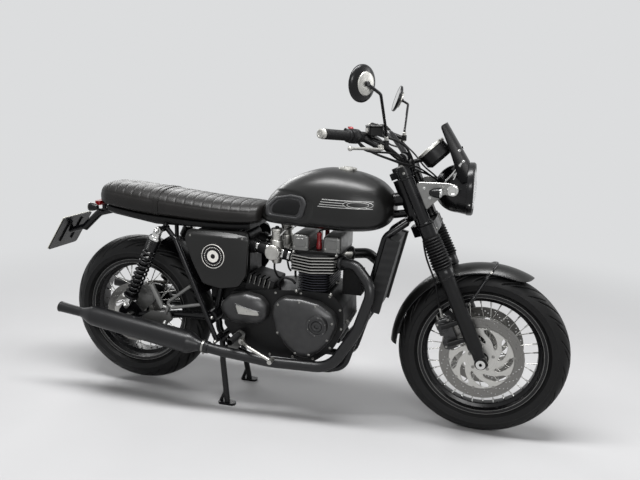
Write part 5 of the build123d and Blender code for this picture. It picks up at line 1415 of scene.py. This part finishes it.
def makeInduction():
    silver, black, wire = [], [], []
    for side in (-1, 1):
        x, y = induction["x"], side * induction["y"]
        run = Vector(induction["along"]).normalized()
        port = Vector((-24, y, 641))
        silver.append(solid([(44, 22), (46, 24), (92, 24), (94, 22)], port, run, 40))
        black.append(solid([(0.3, 22), (3, 23.5), (40, 23.5), (44, 22)], port, run, 40))
        black.append(solid([(94, 23), (98, 23.8), (146, 23.8), (150, 22)], port, run, 40))
        for along in (8, 34, 100, 142):
            wire.append(turned([(along, 23), (along, 25), (along + 8, 25), (along + 8, 23)], port, run, 40, True))
            wire.append(bolt(port + run * (along + 4) + Vector((0, side * 24, 6)), (0, 0, 1), 4.0))
        column = Vector((x, y, 0))
        silver.append(solid([(636, 25), (640, 27), (697, 27), (701, 26), (703, 24.5), (704, 21.5), (736, 21.5),
            (738, 23.6), (744, 24), (747, 22.5), (748, 18)], column, (0, 0, 1), 56))
        silver.append(solid([(608, 17), (611, 18.5), (634, 24.6), (637, 25)], column, (0, 0, 1), 48))
        face = Vector((x - 6, y, 656))
        out = Vector((0, side, 0))
        silver.append(solid([(0, 29), (34, 30), (42, 31), (44, 30), (45.5, 27.5), (46, 25), (49, 24.5)], face, out, 56))
        for angle in (radians(45 + 90 * k) for k in range(4)):
            wire.append(bolt(face + Vector((27.4 * cos(angle), side * 44, 27.4 * sin(angle))), out, 3.0, False, 1.0))
        silver.append(solid([(0, 9), (22, 9), (24, 7.5)], (x + 14, y, 724), out, 24))
        wire.append(swept(smoothPath([(x + 14, y + side * 22, 724), (x + 26, y + side * 36, 728),
            (x + 44, y + side * 30, 748), (x + 60, y, 756)]), 2.6, 8))
        black.append(swept(smoothPath([(x - 6, y + side * 10, 612), (x - 2, y + side * 18, 584),
            (x + 8, y + side * 10, 556), (x + 20, y, 546)]), 4.2, 10))
        black.append(solid([(748, 9), (754, 8), (756, 5)], column, (0, 0, 1), 24))
    makePiece("throttleBodies", "chassis", grouped(silver, black, wire), [castSilver, rubber, chrome],
        ["throttle_bodies"], 40)


makeInduction()
print("induction dressed")

# Headlamp ears, turn signals and the screen's stays
ears = {"radius": 22.8, "low": 546.3, "high": 734.7, "face": 98, "outline": ((446, 966), (560, 968), (590, 962),
    (594, 936), (570, 922), (548, 926), (512, 890), (486, 862), (462, 880))}
signals = {"front": {"node": "front_indicators", "body": "steering", "place": (530, 143, 936), "facing": 1},
    "rear": {"node": "rear_indicators", "body": "chassis", "place": (-914, 76, 778), "facing": -1}, "radius": 18.5}


def makeEars():
    black, grey, silver = [], [], []
    for side in (-1, 1):
        low, length, r = legPoint(ears["low"], side), ears["high"] - ears["low"], ears["radius"]
        black.append(turned([(0, 20.8), (0, r + 3), (1.5, r + 4), (8.5, r + 4), (10, r + 3), (11, r), (length - 11, r),
            (length - 10, r + 3), (length - 8.5, r + 4), (length - 1.5, r + 4), (length, r + 3), (length, 20.8)], low,
            forkUp, 48, True))
        grey.append(sidePlate(roundedOutline(ears["outline"], 16, 6), side, ears["face"], ears["face"] + 7, 2.0))
        middle = Vector((578, side * (ears["face"] - 4), 943))
        grey.append(solid([(0, 21), (10, 21), (11, 20)], middle, (0, side, 0), 40))
        silver.append(solid([(11, 19), (14, 20), (17, 19.5), (18, 17), (18.2, 12), (16.8, 11)], middle, (0, side, 0),
            40))
        x, y, z = signals["front"]["place"]
        black.append(swept([(x, side * (ears["face"] + 2), z), (x, side * (y - 12), z)], 6, 16))
        silver.append(bolt((478, side * (ears["face"] + 7), 946), (0, side, 0), 5.5))
        silver.append(bolt((500, side * (ears["face"] + 7), 912), (0, side, 0), 5.5))
    makePiece("headlampEars", "steering", grouped(black, grey, silver), [enamel, earGrey, chrome],
        ["headlamp_brackets"], 40)


def makeSignals(key):
    spec, r = signals[key], signals["radius"]
    shells, lenses, rings = [], [], []
    for side in (-1, 1):
        centre, facing = sided(spec["place"], side), Vector((spec["facing"], 0, 0))
        shells.append(turned(smoothProfile([(-30, 0), (-30, r * 0.32), (-27, r * 0.55), (-16, r * 0.8), (-4, r * 0.95),
            (8, r)]) + [(8, 0)], centre, facing, 48))
        rings.append(turned([(7, r - 2), (7, r - 0.3), (9, r), (11, r - 0.4), (11.4, r - 2.5)], centre, facing, 48,
            True))
        lenses.append(turned([(8, 0), (8, r - 2.2), (11.4, r - 2.6), (14.2, r - 6), (15.6, r - 12), (15.9, 0)], centre,
            facing, 40))
    makePiece(key + "Signals", spec["body"], grouped(shells, lenses, rings), [enamel, clearLens, chrome],
        [spec["node"]], 40)


def makeScreenStays():
    stays, heads = [], []
    for side in (-1, 1):
        for low, high in (((548, 80, 968), (600, 84, 1040)), ((575, 74, 975), (600, 84, 1040))):
            stays.append(swept([sided(low, side), sided(high, side)], 3.6, 12))
        for x, z in ((606, 1046), (590, 1082)):
            heads.append(bolt((x, side * 88, z), (0.5, side * 0.85, 0.2), 5.2, False, 0.7))
        heads.append(bolt((606, side * 90, 1046), (0, side, 0), 5.0))
    heads.append(bolt((lamp["x"] - 2, -lamp["radius"] * cos(0.5), lamp["z"] - lamp["radius"] * sin(0.5)),
        (0.2, -cos(0.5), -sin(0.5)), 4.2, False))
    makePiece("screenStays", "steering", [(joined(stays), 0), (joined(heads), 0)], [chrome])


makeEars()
makeSignals("front")
makeSignals("rear")
makeScreenStays()
print("front dressed")

# Mirrors: bend of the stem, head centre and the way the back of the head points.
mirrors = {"right": (-1, (360, 398, 1264), (308, 430, 1294), (0.87, -0.49, -0.05)), "left": (1, (334, 396, 1236),
    (282, 430, 1258), (0.92, 0.27, -0.30)), "radius": 57}
bar = {"end": (181, 400, 1137), "bend": (305, 178, 1119), "clamp": (385, 78, 1040), "radius": 11.1,
    "corners": (70, 50, 50, 70)}


def barPoint(distance, side):
    end, bend = Vector(bar["end"]), Vector(bar["bend"])
    return sided(end + (bend - end).normalized() * distance, side)


def leverPivot(side):
    return barPoint(186, side) + Vector((66, 0, -34))


def mirrorFoot(side):
    return leverPivot(side) + Vector((14, -side * 28, 24))


def makeMirror(key):
    side, bend, head, aim = mirrors[key]
    foot, centre, back, r = mirrorFoot(side), sided(head, side), Vector(aim).normalized(), mirrors["radius"]
    path = bentPath([foot, foot + Vector((0, 0, 20)), sided(bend, side), centre + back * 20], (12, 26), 6)
    stem = swept(path, 5, 16)
    nut = solid([(0, 8), (11, 8), (12, 7)], foot, (0, 0, 1), 6)
    dish = openEnded(turned([(-6, r - 3.5), (-6, r - 0.8), (-4.5, r), (1, r), (4, r - 1.5), (8, r - 9), (11, r * 0.66),
        (12, r * 0.62), (12, 0)], centre, back, 72))
    cap = turned([(11.5, 0), (11.5, r * 0.62), (14, r * 0.63), (16.5, r * 0.6), (18, r * 0.5), (18.6, r * 0.25),
        (18.8, 0)], centre, back, 56)
    knuckle = solid([(17, 8.5), (24, 8.5), (26, 7)], centre, back, 24)
    pane = solid([(-5.4, r - 3.2), (-3, r - 3.2)], centre, back, 64)
    makePiece(key + "Mirror", "steering", [(stem, 0), (nut, 1), (dish, 0), (cap, 1), (knuckle, 0), (pane, 2)],
        [enamel, castSilver, reflector], ["mirrors"], 38)


def makeBar():
    corners = [sided(bar["end"], 1), sided(bar["bend"], 1), sided(bar["clamp"], 1), sided(bar["clamp"], -1),
        sided(bar["bend"], -1), sided(bar["end"], -1)]
    tubePart = swept(bentPath(corners, bar["corners"], 5), bar["radius"], 28)
    weights, rubbers = [], []
    for side in (-1, 1):
        tip, run = barPoint(0, side), (barPoint(10, side) - barPoint(0, side)).normalized()
        weights.append(solid([(-16, 6), (-14.6, 6.6), (-14.6, 8), (-16, 9), (-16, 13), (-14.5, 15), (-9, 15.4),
            (-8, 14.2), (-7, 15.6), (-2, 17), (-0.3, 17)], tip, run, 48))
        profile = [(4, 11.3), (4, 15.8), (5.5, 17)]
        for k in range(15):
            profile += [(10 + k * 6.6, 17), (11.4 + k * 6.6, 16), (13.4 + k * 6.6, 16), (14.8 + k * 6.6, 17)]
        profile += [(112, 17), (114, 20.5), (116, 22), (120, 22), (122, 20), (122, 11.3)]
        rubbers.append(turned(profile, tip, run, 40, True))
    makePiece("handlebarTube", "steering", [(tubePart, 0), (joined(weights), 1)], [enamel, castSilver], ["handlebar"],
        40)
    makePiece("gripRubbers", "steering", rubbers, [rubber], ["grips"], 50)


def makeControls():
    black, silver, redParts, cable = [], [], [], []
    for side in (-1, 1):
        tip, run = barPoint(0, side), (barPoint(10, side) - barPoint(0, side)).normalized()
        black.append(solid([(124, 19), (126, 23), (130, 24.6), (144, 24.8), (145, 24), (146, 24.8), (160, 24.6),
            (164, 23), (166, 19)], tip, run, 40))
        black.append(solid([(170, 16.5), (172, 18), (200, 18), (202, 16.5)], tip, run, 36))
        pivot = leverPivot(side)
        black.append(swept([barPoint(186, side), pivot], [13, 9.5], 20))
        silver.append(solid([(-9, 10), (-7.5, 12), (7.5, 12), (9, 10)], pivot, (0, 0, 1), 28))
        silver.append(bolt(pivot + Vector((0, 0, 9)), (0, 0, 1), 6))
        lever = bentPath([pivot, pivot + Vector((8, side * 30, -4)), barPoint(90, side) + Vector((82, 0, -40)),
            barPoint(14, side) + Vector((80, 0, -42))], (14, 60), 6)
        flat = [(cos(2 * pi * k / 18) * 1.25, sin(2 * pi * k / 18) * 0.8) for k in range(18)]
        silver.append(swept(lever, [6.6 - 2.0 * k / (len(lever) - 1) for k in range(len(lever))], section=flat))
        silver.append(ball(lever[-1], 8.6, 28))
        foot = mirrorFoot(side)
        black.append(swept([barPoint(194, side), foot - Vector((0, 0, 14))], 8.4, 18))
        black.append(solid([(-22, 10), (-0.4, 10)], foot, (0, 0, 1), 24))
        black.append(block(barPoint(134, side) + Vector((-16, 0, 16)), (20, 16, 12), Matrix.Rotation(0.5, 3, "Y")))
        for n, slide in enumerate((138, 152)):
            button = barPoint(slide, side) + Vector((-22, 0, 6 - n * 4))
            silver.append(solid([(0, 4.2), (5, 4.0), (5.6, 3)], button, (-1, 0, 0.3), 16))
    red0 = barPoint(138, -1) + Vector((-4, 0, 22))
    redParts.append(turned([(0, 0), (0, 8.4), (5, 8), (7, 6), (7.4, 0)], red0, (-0.25, 0, 1), 24))
    redParts.append(block(red0 + Vector((-5, 2, 6)), (14, 8, 6), Matrix.Rotation(0.3, 3, "Z")))
    cup = barPoint(208, -1) + Vector((28, 0, 24))
    turn = Matrix.Rotation(radians(28), 3, "Z")
    black.append(turnedBlock(cup, (48, 58), (-17, 11), turn, 9))
    black.append(turnedBlock(cup, (50.5, 60.5), (11, 17), turn, 10))
    for x, y in ((-17, -22), (17, 22), (-17, 22), (17, -22)):
        silver.append(bolt(cup + turn @ Vector((x, y, 16.6)), (0, 0, 1), 3.0, False, 0.7))
    silver.append(solid([(0, 10), (2, 10), (2.6, 8)], cup + turn @ Vector((-24, 0, -2)), turn @ Vector((-1, 0, 0)),
        28))
    # Hoses and cables: each from its lever or box into the headlamp's back, held all the way
    cable.append(swept(smoothPath([cup + Vector((4, 24, -14)), (402, -150, 1098), (436, -96, 1020), (424, -70, 950),
        (452, -58, 880), (476, -60, 842)]), 4.2, 10))
    for shift in (0, 11):
        start = barPoint(148, -1) + Vector((12, shift, -18))
        cable.append(swept(smoothPath([start, start + Vector((44, 24, -34)), (384 + shift, -150, 1036),
            (450, -84, 1004 + shift), (494, -36, 982), (520, -22, 962)]), 3.2, 10))
    start = leverPivot(1) + Vector((2, -18, 0))
    cable.append(swept(smoothPath([start, start + Vector((30, -34, -20)), (406, 150, 1044), (452, 84, 1006),
        (494, 36, 982), (520, 22, 962)]), 3.2, 10))
    for side in (-1, 1):
        wire = barPoint(160, side) + Vector((6, 0, -20))
        cable.append(swept(smoothPath([wire, wire + Vector((26, -side * 40, -30)), (366, side * 120, 1062),
            (404, side * 60, 1018)]), 3.6, 10))
    makePiece("barControls", "steering", grouped(black, silver, redParts, cable), [plastic, castSilver, red, rubber],
        ["bar_controls"], 38)


# A softened block turned about the vertical; size across, and levels from its centre.
def turnedBlock(centre, size, levels, turn, corner):
    halfX, halfY = size[0] / 2, size[1] / 2
    line = roundedPlan(halfX, halfY, corner, 5)
    rows = []
    for level, inset in ((levels[0], 1.5), (levels[0] + 1.5, 0), (levels[1] - 1.5, 0), (levels[1], 1.5)):
        rows.append([Vector(centre) + turn @ Vector((p.x * (1 - inset / halfX), p.y * (1 - inset / halfY),
            level)) for p in line])
    return lofted(rows)


makeMirror("right")
makeMirror("left")
makeBar()
makeControls()
print("handlebar dressed")

# Shock absorbers: stations along the damper, from its lower eye.
shock = {"low": (-714, 150, 393), "high": (-560, 150, 718), "wire": 4.4, "coil": 23.5, "turns": 10, "springLow": 52.9,
    "springHigh": 262.7}


def makeShock(side, name):
    low, high = sided(shock["low"], side), sided(shock["high"], side)
    along, across = (high - low).normalized(), Vector((0, side, 0))
    dark = [solid([(38, 28), (40, 31), (46, 31), (48, 29), (48.2, 15.5), (215, 15.5), (217, 7)], low, along, 48),
        turned([(267.6, 12), (267.6, 26), (269, 27)] + ridges(272, 316, 27, 25.8, 6) + [(319, 27), (320, 26),
        (320, 12)], low, along, 48, True)]
    bright = [solid([(8, 13), (36, 13), (39, 16)], low, along, 36), solid([(217, 7), (268, 7)], low, along, 28),
        turned(smoothProfile([(320, 26.4), (326, 26.4), (332, 22), (336, 17.5), (349, 17)]) + [(349, 0), (320, 0)],
        low, along, 48)]
    for eye in (low, high):
        bright.append(solid([(-13, 13.5), (-11.5, 15), (11.5, 15), (13, 13.5)], eye, across, 40))
        bright.append(acornNut(eye + across * 13, 9, across))
    spring, count = [], shock["turns"] * 28
    first = along.orthogonal().normalized()
    other = along.cross(first)
    for k in range(count + 1):
        angle = 2 * pi * shock["turns"] * k / count
        level = shock["springLow"] + (shock["springHigh"] - shock["springLow"]) * k / count
        spring.append(low + along * level + (first * cos(angle) + other * sin(angle)) * shock["coil"])
    makePiece("shock" + name, "chassis", grouped(dark, bright), [enamel, chrome], ["shock_absorbers"], 40)
    makePiece("spring" + name, "chassis", [swept(spring, shock["wire"], 12)], [enamel], ["shock_springs"], 50)


makeShock(-1, "Right")
makeShock(1, "Left")
print("shocks dressed")

# Brake calipers and hoses
brakes = {"station": 132, "ahead": -80, "face": 95.3, "inner": 46.2}


def makeFrontBrakes():
    body, bright, hose = [], [], []
    for side in (-1, 1):
        centre = legPoint(brakes["station"], side, brakes["ahead"])
        origin, out = Vector((centre.x, 0, centre.z)), Vector((0, side, 0))

        def on(a, b, y):
            return origin + forkAhead * a + forkUp * b + out * y

        outer = roundedOutline([(-29, -52), (-14, -60), (24, -58), (29, -40), (29, 40), (24, 58), (-14, 60), (-29, 52),
            (-29, 24), (-16, 18), (-16, -18), (-29, -24)], 7, 4)
        for low, high in ((brakes["inner"], 63.6), (80.4, brakes["face"] - 4)):
            body.append(plate(outer, origin, forkAhead, forkUp, *sorted((-side * low, -side * high)), 2.0))
        bridge = roundedOutline([(-28, -4), (-14, 0), (-14, 34), (28, 34), (26, 56), (-14, 58), (-28, 50)], 4, 3)
        body.append(plate(bridge, origin, forkAhead, forkUp, *sorted((-side * 60, -side * 84)), 0.6))
        for b in (-28, 28):
            body.append(solid([(0, 19), (7.6, 19), (9, 17.5), (9, 14), (7.6, 13)], on(-5, b, brakes["face"] - 9), out,
                36))
            bright.append(bolt(on(22, b * 1.75, brakes["face"] - 4), out, 5.6, False, 0.55))
            bright.append(bolt(on(-22, b * 1.6, brakes["face"] - 4), out, 4.4, False, 0.6))
        bright.append(solid([(0, 5.5), (8, 5.5), (9, 3.2), (18, 3)], on(-14, 58, 74), forkUp, 14))
        union = on(4, 62, 76)
        bright.append(solid([(0, 7), (9, 7), (10, 5.6), (14, 5.6)], union, forkUp, 16))
        hose.append(swept(smoothPath([union + forkUp * 12, legPoint(262, side, -66, -22), legPoint(330, side, -50,
            -16), legPoint(430, side, -46, -20), legPoint(505, side, -30, -34), legPoint(540, side, -6, -52)]), 3.6,
            12))
        bright.append(turned([(0, 3.4), (0, 4.8), (26, 4.8), (28, 3.4)], union + forkUp * 12,
            legPoint(262, side, -66, -22) - union, 16, True))
    makePiece("frontBrakes", "steering", grouped(body, bright, hose), [graphite, boltSteel, rubber],
        ["front_calipers"], 38)


def makeForkFittings():
    silver, dark = [], []
    for side in (-1, 1):
        out = Vector((0, side, 0))
        top = legPoint(766, side)
        silver.append(solid([(0, 24.2), (4, 24.2), (5, 22), (5, 14), (12.3, 13)], top, forkUp, 6))
        silver.append(solid([(4, 22), (8, 21), (9, 17)], top, forkUp, 40))
        dark.append(turned([(336, 31), (337, 31.6), (343, 31.6), (344, 30.4), (352, 30.4), (353, 31.6), (370, 31.6),
            (372, 30.2), (372, 27)], legPoint(0, side), forkUp, 48, True))
        for lift in (-10, 10):
            silver.append(bolt(legPoint(lift, side, 23, 0), forkAhead, 4.5, False, 0.8))
        silver.append(bolt(legPoint(748, side, 0, 27.6), out, 5.0, False, 0.8))
        silver.append(bolt(legPoint(520, side, 30, 0), forkAhead, 5.4, False, 0.8))
    makePiece("forkFittings", "steering", grouped(silver, dark), [boltSteel, enamel])


makeFrontBrakes()
makeForkFittings()
print("brakes dressed")

# Side panels with a creased top edge, and their plain ring badge, no sign on it.
panel = {"outline": ((-446, 728), (-196, 732), (-182, 700), (-192, 560), (-222, 512), (-300, 498), (-376, 512),
    (-420, 600), (-458, 690)), "face": 150, "bulge": 620, "middle": (-320, 615), "depth": 26, "crease": 711,
    "creaseSlope": 1.0, "edge": ((1.0, 5.0), (0.994, 2.4), (0.984, 0.9), (0.968, 0.2)), "badge": (-325, 632),
    "badgeRadius": 48, "dots": 32}


def panelFace(x, z):
    away = Vector((x - panel["middle"][0], z - panel["middle"][1])).length
    return (panel["face"] - panel["bulge"] + sqrt(panel["bulge"] ** 2 - away ** 2) - max(0,
        z - panel["crease"]) * panel["creaseSlope"])


def makeSidePanels():
    line = finer(roundedOutline(panel["outline"], 24, 7), 9)
    middle = meanOf(line)
    for side, name in bothSides:
        rows = [[Vector((p.x, side * (panel["face"] - panel["depth"]), p.y)) for p in line]]
        shares = list(panel["edge"]) + [(0.95 - 0.05 * k, 0.0) for k in range(19)]
        for share, drop in shares:
            ring = []
            for p in line:
                spot = middle + (p - middle) * share
                ring.append(Vector((spot.x, side * (panelFace(spot.x, spot.y) - drop), spot.y)))
            rows.append(ring)
        makePiece("sidePanel" + name, "chassis", [lofted(rows)], [paint], ["side_panels"], 30)
        x, z = panel["badge"]
        spot = Vector((x, side * panelFace(x, z), z))
        out = (spot - Vector((panel["middle"][0], side * (panel["face"] - panel["bulge"]),
            panel["middle"][1]))).normalized()
        r = panel["badgeRadius"]
        rings = [(turned([(-2, r - 2), (0.7, r - 2), (0.9, r - 1), (0.7, r), (-2, r)], spot, out, 72, True), 0),
            (solid([(-2, r - 2), (0.3, r - 2)], spot, out, 72), 1), (turned([(0.2, r * 0.2), (0.6, r * 0.2),
            (0.7, r * 0.5), (0.2, r * 0.5)], spot, out, 56, True), 0)]
        level = out.cross(Vector((0, 0, 1))).normalized()
        for k in range(panel["dots"]):
            angle = 2 * pi * k / panel["dots"]
            way = level * cos(angle) + out.cross(level) * sin(angle)
            rings.append((solid([(0.2, 1.9), (0.7, 1.6)], spot + way * r * 0.74, out, 8), 0))
        makePiece("panelBadge" + name, "chassis", rings, [dialWhite, enamel])
        fixings = [bolt((x, side * (panelFace(x, z) - 0.4), z), out, 5.0, False, 0.5) for x,
            z in ((-430, 706), (-208, 708))]
        makePiece("panelBolts" + name, "chassis", fixings, [boltSteel])


makeSidePanels()

# Front mudguard with a rounded front end, its stay and brackets
guard = {"radius": 350, "half": 62, "lip": 26, "thickness": 3, "from": 178, "to": 62, "roundOver": 12, "stay": 220,
    "stayRadius": 5.2}


def makeGuard():
    spec = guard
    arc = (spec["half"] ** 2 + spec["lip"] ** 2) / (2 * spec["lip"])
    widest = asin(spec["half"] / arc)
    rows = []
    for k in range(94):
        angle = spec["from"] + (spec["to"] - spec["from"]) * k / 93
        left = (angle - spec["to"]) / spec["roundOver"]
        share = 1 if left >= 1 else sqrt(max(0.012, 1 - (1 - left) ** 2.4))
        ring = []
        for shrink, order in ((0, range(29)), (spec["thickness"], reversed(range(29)))):
            for n in order:
                lean = widest * share * (2 * n / 28 - 1)
                height = spec["radius"] - arc * (1 - cos(lean)) - shrink * cos(lean)
                ring.append(Vector((frontAxle.x + height * cos(radians(angle)), (arc - shrink) * sin(lean),
                    frontAxle.z + height * sin(radians(angle)))))
        rows.append(ring)
    parts, dark, silver = [(lofted(rows), 0)], [], []
    for side in (-1, 1):
        edge = []
        for k in range(86):
            angle = radians(spec["from"] + (spec["to"] + spec["roundOver"] - spec["from"]) * k / 85)
            height = spec["radius"] - spec["lip"] - 1
            edge.append((frontAxle.x + height * cos(angle), side * (spec["half"] - 1), frontAxle.z + height
                * sin(angle)))
        parts.append((swept(edge, 2.6, 10), 1))
        at = legPoint(318, side)
        dark.append(swept([(at.x, side * 56, at.z), (at.x, side * 79, at.z)], 9, 20))
        silver.append(bolt((at.x + 34, side * 55, at.z + 20), (0.2, side, 0.4), 6, False))
        foot = legPoint(spec["stay"], side, 41)
        top = Vector((735, side * 64, 655))
        way = (top - foot).normalized()
        for station, length in ((10, 22), ((top - foot).length - 44, 18)):
            dark.append(solid([(0, 7.4), (2, 8), (length - 2, 8), (length, 7.4)], foot + way * station, way, 20))
        dark.append(ball(foot, 9, 20))
        silver.append(bolt(foot + Vector((0, side * 6, 0)), (0, side, 0), 6))
        silver.append(turned([(0, 0), (0, 6.4), (3, 6), (4, 0)], top + Vector((0, side * 2, 0)) - way * 6,
            (0, side, 0.4), 16))
    foot = legPoint(spec["stay"], 1, 41)
    stay = bentPath([(foot.x, -foot.y, foot.z), (735, -64, 655), (757, 0, 672), (735, 64, 655), foot], (40, 60, 40))
    dark.append(swept(stay, spec["stayRadius"], 14))
    makePiece("frontMudguard", "steering", parts + [(joined(dark), 1), (joined(silver), 2)],
        [paint, enamel, boltSteel], ["front_mudguard"], 40)


makeGuard()
print("panels and mudguard dressed")

# Exhaust clamps, engine fixings and the rider's pegs' rubbers
def makeFixings():
    bright, black = [], []
    for side in (-1, 1):
        out = Vector((0, side, 0))
        start, end = sided(exhaust["start"], side), sided(exhaust["end"], side)
        along = (end - start).normalized()
        bright.append(turned([(-13, 23.8), (-13, 26), (-5, 26), (-5, 23.8)], start, along, 48, True))
        bright.append(bolt(start - along * 9 + Vector((0, side * 6, -27)), out, 5.0))
        for x, z in ((-338, 372), (-310, 285)):
            bright.append(acornNut((x, side * (134 if z > 300 else 164), z), 8.5, out))
        bright.append(acornNut((rearAxle.x, side * 143, rearAxle.z), 12, out))
        profile = [(0, 0), (0, 12)] + ridges(4, 84, 13, 11.4, 9) + [(88, 13), (90, 11), (90, 0)]
        black.append(turned(profile, (-214, side * 154, 322), out, 28))
        for x, z in ((150, 560), (12, 560)):
            bright.append(acornNut((x, side * 112, z - 44), 7.5, out))
        bright.append(bolt((206, side * 71, 400), out, 9))
        for x, z in ((188, 458), (194, 382), (152, 300), (84, 247), (0, 244), (-96, 242), (-214, 286), (-74, 500),
                (146, 508), (30, 508)):
            bright.append(bolt((x, side * covers["case"], z), out, 5.2, False, 0.7))
        black.append(swept(smoothPath([(-60, side * 96, 508), (-64, side * 112, 540), (-40, side * 118, 566),
            (-8, side * 116, 560), (6, side * 112, 545)]), 5.0, 12))
        bright.append(solid([(0, 9), (10, 9), (12, 7), (22, 6.4)], (160, side * 70, 556), (0.7, side * 0.7, 0.1), 6))
    # Plain black boxes behind the engine, and one ahead of the cylinders between the header pipes; the front one
    # darkens that gap as painted shade and stands partly for the parts seen there.
    black.append(joined([block((-300, 0, 486), (160, 96, 108)), block((-232, 0, 470), (70, 150, 90)),
        block((212, 0, 548), (76, 60, 100))]))
    for k in range(5):
        low, high = Vector((-192 + 20 * k, -98, 524 - 4.4 * k)), Vector((-183 + 20 * k, -98, 558 - 4.4 * k))
        bright.append(swept([low, high], 1.7, 8))
    makePiece("frameFixings", "chassis", grouped(bright, black), [boltSteel, rubber])


makeFixings()
print("fixings dressed")

# Finishes of the pieces that keep their own shape
finishes = (
    (enamel, ("main_frame", "swingarm", "fork_yokes", "centre_stand", "side_stand",
        "headlamp_shell", "rear_mudguard")),
    (castBlack, ("crankcase", "fork_sliders", "rear_sprocket")),
    (camGrey, ("rear_caliper", "footrests")),
    (castSilver, ("foot_pedals",)),
    (chrome, ("rear_axle", "front_axle")),
    (plastic, ("air_box", "instruments")),
    (smoked, ("fly_screen",)),
    (redLens, ("tail_lamp",)),
    (sheetPale, ("number_plate",)),
    (coreFinish, ("radiator",)),
    (headFins, ("cylinder_head",)),
    (barrelFins, ("cylinder_barrel",)),
)
for material, names in finishes:
    for node in names:
        dress(node, material)
replacedNodes = set(cadNodes) - {node for _, names in finishes for node in names}
for node in replacedNodes:
    dress(node, enamel)
print("finishes set")


def makeFloor():
    material, tree, shader = newMaterial("plainFloor", studio["floor"], 0.0, 0.8)
    mixedTones(tree, shader, blotches(tree, 400), "#B7B7B8", "#BDBDBE")
    space = addNode(tree, "ShaderNodeTexCoord")
    reach = addNode(tree, "ShaderNodeVectorMath", {"operation": "LENGTH"}, {0: space.outputs["Object"]})
    fade = addNode(tree, "ShaderNodeMapRange", {"interpolation_type": "SMOOTHSTEP", "From Min": studio["plainFrom"],
        "From Max": studio["plainTo"]}, {"Value": reach.outputs["Value"]})
    share = addNode(tree, "ShaderNodeMath", {"operation": "MULTIPLY"}, {0: seenRays(tree), 1: fade.outputs[0]})
    plain = addNode(tree, "ShaderNodeEmission", {"Color": toLinear(studio["backdrop"]), "Strength": 1.0})
    mix = addNode(tree, "ShaderNodeMixShader", {}, {0: share.outputs[0], 1: shader.outputs[0], 2: plain.outputs[0]})
    tree.links.new(mix.outputs[0], tree.nodes["Material Output"].inputs["Surface"])
    mesh = bpy.data.meshes.new("floor")
    half = studio["floorSize"] / 2
    mesh.from_pydata([(-half, -half, 0), (half, -half, 0), (half, half, 0), (-half, half, 0)], [], [(0, 1, 2, 3)])
    mesh.materials.append(material)
    floor = bpy.data.objects.new("floor", mesh)
    bpy.context.scene.collection.objects.link(floor)


makeFloor()
print("scene complete")
